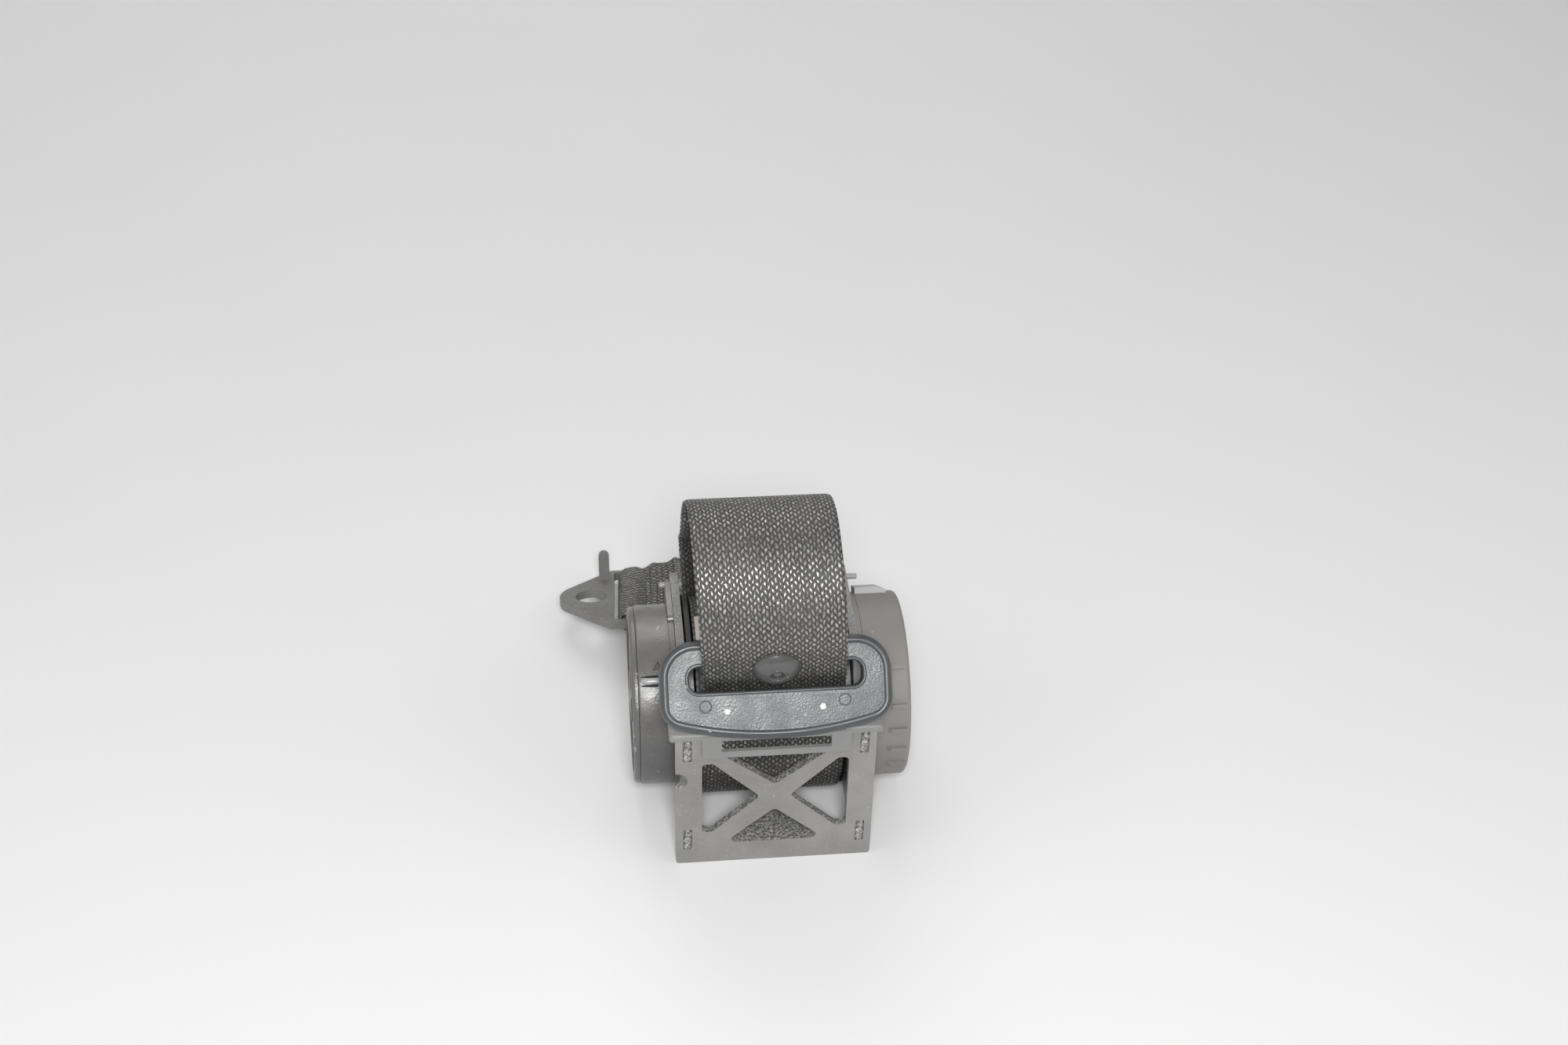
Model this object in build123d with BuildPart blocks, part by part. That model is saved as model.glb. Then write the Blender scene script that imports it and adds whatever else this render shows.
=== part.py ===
from build123d import *
import os
from math import atan2, cos, degrees, hypot, radians, sin, sqrt

# A rear seat belt taken off the car: an inertia reel in a folded steel frame, the belt
# that leaves it through a guide, the tongue and its stop button, and the end anchor.
# Millimetres. X is to the right, Y is away from the braced front plate, Z is up.
# The origin is the reel's mounting bolt hole, on the surface that the reel stands on.

os.makedirs("parts", exist_ok=True)

# Running clearances
fit_gap = 0.05
seat_gap = 0.10
loose_gap = 0.30

# Where the reel stands
bolt_to_front = 94.0
spool_behind_front = 45.0
spool_z = 34.0
front_y = -bolt_to_front
spool_y = front_y + spool_behind_front

# Belt webbing
web_w = 47.0
web_t = 1.1
roll_r = 31.6

# Folded frame
sheet_t = 2.6
web_to_flange = 3.14
flange_inner_x = web_w / 2 + web_to_flange
flange_outer_x = flange_inner_x + sheet_t
tenon_x = flange_inner_x + sheet_t / 2
frame_depth = 82.6
frame_rear_y = front_y + frame_depth
frame_bottom_z = 1.0
frame_base_top_z = 40.0
guide_bay_depth = 17.0
shoulder_depth = 70.0
frame_shoulder_y = front_y + shoulder_depth
frame_bend_r = 3.6
tab_half_w = 14.0
bolt_hole_r = 5.75
bush_hole_r = 10.5

# Braced front plate
plate_edge = 2.46
plate_w = 2 * (flange_outer_x + plate_edge)
plate_h = 56.2
plate_t = 2.6
plate_corner_r = 1.2
plate_rear_y = front_y + plate_t
tenon_low_z = 10.8
tenon_below_top = 5.6
tenon_high_z = plate_h - tenon_below_top
tenon_h = 8.7
window_round = 1.6
side_window_inset = 4.64
side_window_x = tenon_x - side_window_inset
side_window_low_z = 14.0
side_window_below_top = 11.6
side_window_high_z = plate_h - side_window_below_top
side_window_flat = 3.4
side_apex_x = 4.75
hub_above_middle = 1.0
hub_z = plate_h / 2 + hub_above_middle
low_window_inset = 11.74
low_window_x = tenon_x - low_window_inset
low_window_z = 8.6
low_apex_below_hub = 5.7
low_window_apex_z = hub_z - low_apex_below_hub
top_window_inset = 10.54
top_window_x = tenon_x - top_window_inset
top_window_margin = 1.8
top_window_side = 5.8
top_window_z = plate_h - top_window_margin
top_window_shoulder_z = top_window_z - top_window_side
top_apex_above_hub = 5.2
top_window_apex_z = hub_z + top_apex_above_hub
notch_below_top = 18.6
notch_z = plate_h - notch_below_top
notch_h = 6.4
notch_depth = 3.8
stop_tab_w = 27.0
stop_tab_depth = 10.5

# Tops of the frame's flanges, in front under the guide and behind it
flange_below_plate = 0.7
flange_above_plate = 9.8
frame_front_top_z = plate_h - flange_below_plate
frame_top_z = plate_h + flange_above_plate

# Spool and torsion bar
stub_r = 8.0
bar_r = 4.5
core_r = 12.0
disc_r = 32.4
disc_t = 1.6
bush_lip_r = 12.6

# Belt path, seen from the side
wrap_gap = 0.8
lean_below_top = 6.2
belt_rise = plate_h - lean_below_top - spool_z
belt_lean = 12.7
belt_lean_r = 25.0
belt_front_run = 30.0
belt_loop_r = 27.2
belt_loop_turn = 180.0
belt_back_r = 24.0
belt_back_turn = 40.0
belt_drop_r = 14.0
belt_behind_frame = 1.7
belt_foot_r = 6.0
fold_slope = 18.0
fold_depth = 114.0
fold_y = front_y + fold_depth
fold_z = 24.0
fold_r = 1.5
fold_steps = 6

# Tongue
tongue_lean = 40.0
tongue_above_plate = 16.7
tongue_z = plate_h + tongue_above_plate
tongue_slot_spare = 3.5
tongue_slot_w = web_w + 2 * tongue_slot_spare
tongue_side_w = 9.0
tongue_half_w = tongue_slot_w / 2 + tongue_side_w
tongue_top = 12.5
tongue_bottom_side = -12.6
tongue_bottom = -18.3
tongue_t = 5.2
tongue_core_t = 2.4
tongue_top_r = 11.0
tongue_low_r = 7.5
tongue_slot_h = 8.0
tongue_slot_up = 0.7
blade_w = 22.0
blade_reach = 39.0

# Stop button
button_above_tongue = 6.6
button_z = tongue_z + button_above_tongue
button_r = 7.4
button_h = 3.3
button_back_r = 4.6
button_back_t = 1.0
button_stem_r = 1.2

# Covers on the two ends of the reel
left_cover_r = 29.5
left_cover_l = 12.76
left_cover_x = flange_outer_x + left_cover_l
left_lid_t = 2.0
right_cover_r = 30.6
right_cover_l = 16.36
right_cover_x = flange_outer_x + right_cover_l
cover_wall = 1.8
housing_t = 2.0

# End anchor
tail_l = 18.0
anchor_x = -web_w / 2 - tail_l
anchor_depth = 121.1
anchor_y = front_y + anchor_depth
anchor_z = 10.4
anchor_lean = 72.0
anchor_turn = 2.0
anchor_t = 3.0
anchor_bar = 4.0
anchor_slot_w = 3.4
sewn_narrowing = 4.0
sewn_w = web_w - sewn_narrowing
anchor_slot_l = sewn_w + 1.0
anchor_arm_w = 2.0
anchor_w = anchor_slot_l + 2 * anchor_arm_w
anchor_hole_from_bar = 13.6
anchor_end_r = 11.5
anchor_hole_r = 5.75


def yz_plane(x):
    """Plane square to the spool, at x, with Y to its right and Z up."""
    return Plane.YZ.offset(x)


def xz_plane(y):
    """Plane of the front plate, at y, facing the viewer, with Z up."""
    return Plane.XZ.offset(-y)


def spool_plane(x):
    """Plane square to the spool, centred on its axis."""
    return Plane(origin=(x, spool_y, spool_z), x_dir=(0, 1, 0), z_dir=(1, 0, 0))


def polar(radius, angle):
    """Point in a spool plane at an angle from the rear towards the top."""
    return (radius * cos(radians(angle)), radius * sin(radians(angle)))


def drum_plane(x, radius, angle):
    """Plane lying on a drum of that radius about the spool, at x and at an angle."""
    y, z = polar(radius, angle)
    outward = (0, cos(radians(angle)), sin(radians(angle)))
    return Plane(origin=(x, spool_y + y, spool_z + z), x_dir=(1, 0, 0), z_dir=outward)


def save(builder, name):
    """Label a finished piece and write it."""
    builder.part.label = name
    export_step(builder.part, f"parts/{name}.step")


# Front plate: a cross of four windows, four tenon slots, a side notch and a bent stop tab
with BuildPart() as front_plate:
    with BuildSketch(xz_plane(plate_rear_y)) as plate_outline:
        with Locations((0, plate_h / 2)):
            RectangleRounded(plate_w, plate_h, plate_corner_r)
        for z in (tenon_low_z, tenon_high_z):
            with GridLocations(2 * tenon_x, 1, 2, 1):
                with Locations((0, z)):
                    Rectangle(sheet_t + 2 * seat_gap, tenon_h + 2 * seat_gap, mode=Mode.SUBTRACT)
        with Locations((-plate_w / 2, notch_z)):
            SlotOverall(2 * notch_depth, notch_h - 0.01, mode=Mode.SUBTRACT)
        with BuildSketch(mode=Mode.PRIVATE) as side_window:
            with BuildLine():
                Polyline(
                    (side_window_x, side_window_low_z),
                    (side_window_x, side_window_high_z),
                    (side_window_x - side_window_flat, side_window_high_z),
                    (side_apex_x, hub_z),
                    (side_window_x - side_window_flat, side_window_low_z),
                    close=True,
                )
            make_face()
            fillet(side_window.vertices(), window_round)
        add(side_window.sketch, mode=Mode.SUBTRACT)
        add(side_window.sketch.mirror(Plane.YZ), mode=Mode.SUBTRACT)
        with BuildSketch(mode=Mode.PRIVATE) as low_window:
            with BuildLine():
                Polyline(
                    (-low_window_x, low_window_z),
                    (low_window_x, low_window_z),
                    (0, low_window_apex_z),
                    close=True,
                )
            make_face()
            fillet(low_window.vertices(), window_round)
        add(low_window.sketch, mode=Mode.SUBTRACT)
        with BuildSketch(mode=Mode.PRIVATE) as top_window:
            with BuildLine():
                Polyline(
                    (0, top_window_apex_z),
                    (top_window_x, top_window_shoulder_z),
                    (top_window_x, top_window_z),
                    (-top_window_x, top_window_z),
                    (-top_window_x, top_window_shoulder_z),
                    close=True,
                )
            make_face()
            fillet(top_window.vertices(), window_round)
        add(top_window.sketch, mode=Mode.SUBTRACT)
    extrude(amount=plate_t)
    # The stop tab is the metal of the lowest window, bent back level with its sill
    with BuildSketch(Plane.XY.offset(low_window_z)) as stop_tab:
        with BuildLine():
            tab_base = Line((-stop_tab_w / 2, front_y + 0.4), (stop_tab_w / 2, front_y + 0.4))
            ThreePointArc(tab_base @ 1, (0, plate_rear_y + stop_tab_depth), tab_base @ 0)
        make_face()
    extrude(amount=-plate_t)
save(front_plate, "front_plate")

# Frame: rear base, two side flanges with tenons, and the mounting tab
pin_inset_y = 4.0
pin_inset_z = 2.8
pin_y = frame_shoulder_y - pin_inset_y
pin_z = frame_top_z - pin_inset_z
pin_r = 1.0
pawl_pivot_r = 24.5
pawl_pivot_angle = 262.0
pawl_pin_r = 2.0
screw_circle_r = 24.5
screw_angles = (60, 150, 215)
screw_r = 1.6
with BuildPart() as frame:
    with BuildSketch(Plane.XY.offset(frame_bottom_z)):
        with Locations((0, (plate_rear_y + frame_rear_y) / 2)):
            channel = Rectangle(2 * flange_outer_x, frame_rear_y - plate_rear_y)
        fillet(channel.vertices().group_by(Axis.Y)[-1], frame_bend_r)
        with Locations((0, (plate_rear_y + frame_rear_y - sheet_t) / 2)):
            Rectangle(
                2 * flange_inner_x, frame_rear_y - sheet_t - plate_rear_y, mode=Mode.SUBTRACT
            )
    extrude(amount=frame_top_z - frame_bottom_z)
    with BuildSketch(Plane.YZ) as flange_outline:
        with BuildLine():
            Polyline(
                (plate_rear_y, frame_bottom_z),
                (plate_rear_y, frame_front_top_z),
                (plate_rear_y + guide_bay_depth, frame_front_top_z),
                (plate_rear_y + guide_bay_depth + 4, frame_top_z),
                (frame_shoulder_y, frame_top_z),
                (frame_rear_y, frame_base_top_z),
                (frame_rear_y, frame_bottom_z),
                close=True,
            )
        make_face()
        fillet(flange_outline.vertices().group_by(Axis.Y)[-1], 5)
        fillet(flange_outline.vertices().group_by(Axis.Y)[0].sort_by(Axis.X)[0], 2.5)
    extrude(amount=plate_w, both=True, mode=Mode.INTERSECT)
    for z in (tenon_low_z, tenon_high_z):
        with Locations((0, plate_rear_y - 0.9, z)):
            with GridLocations(2 * tenon_x, 1, 2, 1):
                Box(sheet_t, 2.2, tenon_h)
    with BuildSketch(spool_plane(0)):
        Circle(bush_hole_r)
        for angle in screw_angles:
            with Locations(polar(screw_circle_r, angle)):
                Circle(screw_r)
    extrude(amount=plate_w, both=True, mode=Mode.SUBTRACT)
    with BuildSketch(yz_plane(0)):
        with Locations((pin_y, pin_z)):
            Circle(pin_r)
    extrude(amount=plate_w, both=True, mode=Mode.SUBTRACT)
    with BuildSketch(spool_plane(0)):
        with Locations(polar(pawl_pivot_r, pawl_pivot_angle)):
            Circle(pawl_pin_r)
    extrude(amount=plate_w, mode=Mode.SUBTRACT)
    # Base foot, bent back level with the ground, with the bolt hole
    with BuildSketch(Plane.XY):
        with Locations((0, (frame_rear_y - sheet_t) / 2)):
            Rectangle(2 * tab_half_w, -(frame_rear_y - sheet_t))
        Circle(tab_half_w)
    extrude(amount=sheet_t)
    tab_root = frame.edges().filter_by(Axis.X).filter_by(
        lambda e: abs(e.center().Y - frame_rear_y) < 0.01 and abs(e.center().Z - sheet_t) < 0.01
    )
    fillet(tab_root, 2.0)
    with BuildSketch(Plane.XY):
        Circle(bolt_hole_r)
    extrude(amount=sheet_t, mode=Mode.SUBTRACT)
save(frame, "frame")

# Short pins that hold the belt guard to the flange tops
pin_out = 3.8
with BuildPart() as guard_pins:
    with BuildSketch(yz_plane(flange_inner_x - 0.6)):
        with Locations((pin_y, pin_z)):
            Circle(pin_r - fit_gap)
    extrude(amount=sheet_t + 0.6 + pin_out)
    chamfer(guard_pins.faces().sort_by(Axis.X)[-1].edges(), 0.3)
    with BuildSketch(yz_plane(flange_inner_x - 1.0)):
        with Locations((pin_y, pin_z)):
            Circle(1.9)
    extrude(amount=1.0 - loose_gap / 3)
    mirror(about=Plane.YZ)
save(guard_pins, "guard_pins")

# Web guide: the plastic throat on top of the front plate, clipped over it with two legs
guide_overhang = 1.9
guide_half_w = plate_w / 2 + guide_overhang
guide_bottom_z = plate_h + seat_gap
guide_t = 2.4
guide_top_z = guide_bottom_z + guide_t
guide_front_y = front_y - 1.4
guide_rear_y = plate_rear_y + 13.2
guide_slot_spare = 1.5
guide_slot_half_w = web_w / 2 + guide_slot_spare
guide_slot_y = front_y + 10.4
guide_slot_h = 3.4
collar_top_z = guide_top_z + 2.6
leg_inset = 4.54
leg_outer_x = tenon_x - leg_inset
leg_w = 6.2
leg_t = 1.4
leg_drop = 7.7
leg_bottom_z = plate_h - leg_drop
leg_bar_h = 2.6
with BuildPart() as web_guide:
    with BuildSketch(Plane.XY.offset(guide_bottom_z)):
        with Locations((0, (guide_front_y + guide_rear_y) / 2)):
            RectangleRounded(2 * guide_half_w, guide_rear_y - guide_front_y, 1.2)
    extrude(amount=guide_t)
    top_front = web_guide.faces().sort_by(Axis.Z)[-1].edges().sort_by(Axis.Y)[0]
    fillet(top_front, 1.6)
    with BuildSketch(Plane.XY.offset(guide_top_z)):
        with Locations((0, guide_slot_y)):
            RectangleRounded(2 * guide_slot_half_w + 5, guide_slot_h + 4.6, 3.0)
    extrude(amount=collar_top_z - guide_top_z)
    fillet(web_guide.faces().sort_by(Axis.Z)[-1].edges(), 1.2)
    with BuildSketch(Plane.XY.offset(guide_bottom_z)):
        with Locations((0, guide_slot_y)):
            RectangleRounded(2 * guide_slot_half_w, guide_slot_h, 1.2)
    extrude(amount=collar_top_z - guide_bottom_z, mode=Mode.SUBTRACT)
    with BuildSketch(xz_plane(front_y - seat_gap)):
        with Locations((0, (leg_bottom_z + guide_top_z - 1) / 2)):
            Rectangle(2 * leg_outer_x, guide_top_z - 1 - leg_bottom_z)
        with Locations((0, (leg_bottom_z + leg_bar_h + guide_bottom_z) / 2)):
            Rectangle(
                2 * (leg_outer_x - leg_w), guide_bottom_z - leg_bottom_z - leg_bar_h, mode=Mode.SUBTRACT
            )
    extrude(amount=leg_t - seat_gap)
save(web_guide, "web_guide")

# Bearing bushes pressed into the two flanges
bush_bore_r = stub_r + fit_gap


def bush(side):
    """A flanged plastic bush, its lip inside the flange; side is -1 on the left, 1 on the right."""
    profile_plane = Plane(origin=(0, spool_y, spool_z), x_dir=(side, 0, 0), z_dir=(0, -side, 0))
    with BuildPart() as piece:
        with BuildSketch(profile_plane):
            with BuildLine():
                Polyline(
                    (flange_inner_x - 0.4, bush_bore_r),
                    (flange_outer_x - seat_gap, bush_bore_r),
                    (flange_outer_x - seat_gap, bush_hole_r - fit_gap),
                    (flange_inner_x - fit_gap, bush_hole_r - fit_gap),
                    (flange_inner_x - fit_gap, bush_lip_r),
                    (flange_inner_x - 0.4, bush_lip_r),
                    close=True,
                )
            make_face()
        revolve(axis=Axis((0, spool_y, spool_z), (1, 0, 0)))
    return piece


left_bush = bush(-1)
save(left_bush, "left_bush")
right_bush = bush(1)
save(right_bush, "right_bush")

# Spool: a cast drum with two discs and hollow ends
disc_outer_x = flange_inner_x - 0.4 - loose_gap
stub_end_x = flange_outer_x + 0.4
with BuildPart() as spool:
    with BuildSketch(spool_plane(-disc_outer_x)):
        Circle(core_r)
    extrude(amount=2 * disc_outer_x)
    for x in (-disc_outer_x, disc_outer_x - disc_t):
        with BuildSketch(spool_plane(x)):
            Circle(disc_r)
        extrude(amount=disc_t)
    with BuildSketch(spool_plane(-stub_end_x)):
        Circle(stub_r)
    extrude(amount=2 * stub_end_x)
    with BuildSketch(spool_plane(-stub_end_x)):
        Circle(bar_r + seat_gap)
    extrude(amount=2 * stub_end_x, mode=Mode.SUBTRACT)
    # Lightening holes in both discs, between the core and the rim
    with BuildSketch(spool_plane(-disc_outer_x)):
        with PolarLocations((core_r + disc_r) / 2, 6):
            Circle(4.6)
    extrude(amount=2 * disc_outer_x, mode=Mode.SUBTRACT)
save(spool, "spool")

# Torsion bar through the spool, standing out at both ends
bar_right_inset = 4.6
bar_left_inset = 3.5
bar_right_x = right_cover_x - bar_right_inset
bar_left_x = left_cover_x - bar_left_inset
with BuildPart() as torsion_bar:
    with BuildSketch(spool_plane(-bar_left_x)):
        Circle(bar_r)
    extrude(amount=bar_left_x + bar_right_x)
    chamfer(torsion_bar.edges().filter_by(GeomType.CIRCLE), 0.5)
save(torsion_bar, "torsion_bar")

# Webbing wound on the spool, and the plain sewn patch on its outer turn
with BuildPart() as webbing_roll:
    with BuildSketch(spool_plane(-web_w / 2)):
        Circle(roll_r)
        Circle(core_r + seat_gap, mode=Mode.SUBTRACT)
    extrude(amount=web_w)
save(webbing_roll, "webbing_roll")

patch_t = 0.4
patch_start = 88.0
patch_sweep = 18.0
patch_margin = 0.8
with BuildPart() as sewn_patch:
    with BuildSketch(spool_plane(-web_w / 2 + patch_margin)):
        with BuildLine():
            inner = CenterArc((0, 0), roll_r + fit_gap, patch_start, patch_sweep)
            outer = CenterArc((0, 0), roll_r + fit_gap + patch_t, patch_start, patch_sweep)
            Line(inner @ 0, outer @ 0)
            Line(inner @ 1, outer @ 1)
        make_face()
    extrude(amount=web_w - 2 * patch_margin)
save(sewn_patch, "sewn_patch")

# Belt: the last turn round the roll, up through the guide and the tongue, and over in a loop
wrap_r = roll_r + wrap_gap + web_t / 2
fall = sin(radians(fold_slope))
level = cos(radians(fold_slope))
with BuildPart() as belt_loop:
    with BuildSketch(yz_plane(-web_w / 2)) as belt_profile:
        with BuildLine() as belt_path:
            wrap = CenterArc((spool_y, spool_z), wrap_r, 340, -160)
            rise = Line(wrap @ 1, (wrap @ 1) + Vector(0, belt_rise))
            lean = JernArc(rise @ 1, rise % 1, belt_lean_r, belt_lean)
            front_run = Line(lean @ 1, (lean @ 1) + belt_front_run * (lean % 1))
            crest = JernArc(front_run @ 1, front_run % 1, belt_loop_r, -belt_loop_turn)
            back = JernArc(crest @ 1, crest % 1, belt_back_r, belt_back_turn)
            # The belt comes down close behind the frame and ends here at the top of its fold
            drop_turn = belt_loop_turn - belt_lean - belt_back_turn
            drop_y = frame_rear_y + belt_behind_frame
            slope_y = drop_y - (back @ 1).X - belt_drop_r * (1 - sin(radians(drop_turn - 90)))
            slope = Line(back @ 1, (back @ 1) + slope_y / (back % 1).X * (back % 1))
            drop = JernArc(slope @ 1, slope % 1, belt_drop_r, drop_turn - 180)
            foot_y = drop_y + belt_foot_r * (1 - fall)
            foot_z = fold_z + (fold_y - foot_y) * fall / level
            plumb = Line(drop @ 1, (drop_y, foot_z + belt_foot_r * level))
            foot = JernArc(plumb @ 1, plumb % 1, belt_foot_r, 90 - fold_slope)
            to_fold = web_w / 2 - web_t
            Line(foot @ 1, (fold_y - to_fold * level, fold_z + to_fold * fall))
            offset(amount=web_t / 2, side=Side.BOTH)
        make_face()
    extrude(amount=web_w)
    # Square end, flush with the start of the fold
    flat_plane = Plane(origin=(0, fold_y, fold_z), x_dir=(1, 0, 0), z_dir=(0, fall, level))
    with BuildSketch(flat_plane):
        with Locations((0, -web_w / 2)):
            Rectangle(web_w, 4 * web_t, align=(Align.CENTER, Align.MIN))
    extrude(amount=2 * web_t, both=True, mode=Mode.SUBTRACT)
run_start = front_run @ 0
run_heading = front_run % 0


def on_front_run(z):
    """Y of the belt's centre where its straight front run passes height z."""
    return run_start.X + (z - run_start.Y) * run_heading.X / run_heading.Y


button_y = on_front_run(button_z)
button_plane = Plane(
    origin=(0, button_y, button_z), x_dir=(1, 0, 0), z_dir=(0, -run_heading.Y, run_heading.X)
)
with belt_loop:
    with BuildSketch(button_plane):
        Circle(button_stem_r + seat_gap)
    extrude(amount=web_t, both=True, mode=Mode.SUBTRACT)

# Belt tail: behind the reel the belt folds under itself across its width and runs to the anchor
anchor_tilt = radians(anchor_lean)
anchor_turned = radians(anchor_turn)
anchor_normal = Vector(0, cos(anchor_tilt), sin(anchor_tilt))
anchor_out = Vector(
    -cos(anchor_turned), sin(anchor_tilt) * sin(anchor_turned), -cos(anchor_tilt) * sin(anchor_turned)
)
anchor_up = anchor_normal.cross(anchor_out)
anchor_centre = Vector(anchor_x, anchor_y, anchor_z)
anchor_plane = Plane(origin=anchor_centre, x_dir=anchor_out, z_dir=anchor_normal)
sewn_length = 8.0
fold_heading = Vector(0, level, -fall)
fold_down = Vector(0, -fall, -level)
fold_line = (Vector(1, 0, 0) - fold_heading).normalized()
fold_ahead = (Vector(1, 0, 0) + fold_heading).normalized()
fold_axis = Vector(0, fold_y, fold_z) + fold_r * fold_down
with BuildPart() as belt_tail:
    with BuildSketch(flat_plane):
        with BuildLine():
            Polyline(
                (-web_w / 2, -web_w / 2),
                (web_w / 2, -web_w / 2),
                (-web_w / 2, web_w / 2),
                close=True,
            )
        make_face()
    extrude(amount=web_t / 2, both=True)
    # Each station of the fold lies along the fold's own line and steps round its arc
    for step in range(fold_steps + 1):
        turn = radians(180 * step / fold_steps)
        radial = -cos(turn) * fold_down + sin(turn) * fold_ahead
        centre = fold_axis + fold_r * radial - fold_r * turn * fold_line
        heading = sin(turn) * fold_down + cos(turn) * fold_ahead
        with BuildSketch(Plane(origin=centre, x_dir=fold_line, z_dir=heading)):
            Rectangle(web_w * sqrt(2), web_t)
    loft(ruled=True)
    with BuildSketch(Plane(origin=centre, x_dir=fold_line, z_dir=-fold_ahead)):
        Rectangle(web_w * sqrt(2), web_t)
    tail_end = anchor_centre - sewn_length * anchor_out
    with BuildSketch(Plane(origin=tail_end, x_dir=anchor_up, z_dir=anchor_out)):
        Rectangle(sewn_w, web_t)
    loft(ruled=True)

# The belt's whole run from the reel to its sewn end is one piece
with BuildPart() as belt:
    add(belt_loop.part)
    add(belt_tail.part)
save(belt, "belt")

# Sewn end of the belt, folded back on itself round the anchor's bar
eye_r = hypot(anchor_bar, anchor_t) / 2 + loose_gap
wrap_out_r = eye_r + web_t
with BuildPart() as sewn_end:
    with BuildSketch(Plane(origin=anchor_centre, x_dir=anchor_out, z_dir=-anchor_up)):
        with BuildLine():
            round_bar = CenterArc((0, 0), wrap_out_r, -90, 180)
            taper_top = Line(round_bar @ 1, (-sewn_length, web_t / 2))
            stitched = Line(taper_top @ 1, (-sewn_length, -web_t / 2))
            Line(stitched @ 1, round_bar @ 0)
        make_face()
        Circle(eye_r, mode=Mode.SUBTRACT)
    extrude(amount=sewn_w / 2, both=True)
save(sewn_end, "sewn_end")

# Anchor plate: a fan from the belt's bar to the bolt eye, with an upright locating prong
prong_x = 9.0
prong_up = -16.6
prong_w = 3.8
prong_l = 10.7
with BuildPart() as anchor_plate:
    with BuildSketch(anchor_plane):
        with BuildSketch(mode=Mode.PRIVATE) as fan:
            with Locations(((anchor_slot_w + 2.4) / 2, 0)):
                RectangleRounded(anchor_bar + anchor_slot_w + 2.4, anchor_w, 1.9)
            with Locations((anchor_hole_from_bar, 0)):
                Circle(anchor_end_r)
            make_hull()
        add(fan.sketch)
        with Locations(((anchor_bar + anchor_slot_w) / 2, 0)):
            RectangleRounded(anchor_slot_w, anchor_slot_l, 1.2, mode=Mode.SUBTRACT)
        with Locations((anchor_hole_from_bar, 0)):
            Circle(anchor_hole_r, mode=Mode.SUBTRACT)
    extrude(amount=anchor_t / 2, both=True)
    with BuildSketch(anchor_plane.offset(-anchor_t / 2)):
        with Locations((prong_x, prong_up)):
            Rectangle(prong_w, 3.0)
    extrude(amount=prong_l + anchor_t)
    prong_tip = anchor_plate.faces().sort_by(Axis(anchor_centre, anchor_normal))[-1]
    fillet(prong_tip.edges().filter_by(lambda e: abs(e.tangent_at(0).X) < 0.5), prong_w / 2 - 0.05)
save(anchor_plate, "anchor_plate")

# Tongue: a steel ring and latch blade, moulded over in plastic
tongue_tilt = radians(tongue_lean)
tongue_y = on_front_run(tongue_z)
tongue_plane = Plane(
    origin=(0, tongue_y, tongue_z), x_dir=(1, 0, 0), z_dir=(0, -cos(tongue_tilt), sin(tongue_tilt))
)
core_inset = 3.2
core_slot_margin = 1.6
latch_hole_w = 12.0
latch_hole_l = 11.0
latch_hole_y = 29.5


def tongue_ring():
    """Outer outline of the moulded ring, with its bowed lower edge and its shoulder."""
    with BuildSketch() as ring:
        with BuildLine():
            left_foot = (-tongue_half_w, tongue_bottom_side)
            right_foot = (tongue_half_w, tongue_bottom_side)
            bowed = ThreePointArc(left_foot, (0, tongue_bottom), right_foot)
            right = Line(bowed @ 1, (tongue_half_w, tongue_top))
            top = Line(right @ 1, (-tongue_half_w, tongue_top))
            Line(top @ 1, bowed @ 0)
        make_face()
        fillet(ring.vertices().group_by(Axis.Y)[-1], tongue_top_r)
        fillet(ring.vertices().group_by(Axis.Y)[0], tongue_low_r)
    return ring.sketch


def tongue_core(grow):
    """Steel ring and blade, grown all round by a gap where it cuts the moulding."""
    with BuildSketch() as core:
        offset(tongue_ring(), -core_inset + grow)
        with BuildLine():
            shoulder = tongue_top - core_inset
            Polyline(
                (-17 - grow, shoulder - 4),
                (-blade_w / 2 - grow, shoulder + 7),
                (-blade_w / 2 - grow, blade_reach - 4),
                (-blade_w / 2 + 4, blade_reach + grow),
                (blade_w / 2 - 4, blade_reach + grow),
                (blade_w / 2 + grow, blade_reach - 4),
                (blade_w / 2 + grow, shoulder + 7),
                (17 + grow, shoulder - 4),
                close=True,
            )
        make_face()
        with Locations((0, tongue_slot_up)):
            RectangleRounded(
                tongue_slot_w + 2 * (core_slot_margin - grow),
                tongue_slot_h + 2 * (core_slot_margin - grow),
                3.0,
                mode=Mode.SUBTRACT,
            )
    return core.sketch


with BuildPart() as tongue_plate:
    with BuildSketch(tongue_plane):
        add(tongue_core(0))
        with Locations((0, latch_hole_y)):
            RectangleRounded(latch_hole_w, latch_hole_l, 1.5, mode=Mode.SUBTRACT)
    extrude(amount=tongue_core_t / 2, both=True)
save(tongue_plate, "tongue_plate")

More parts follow.
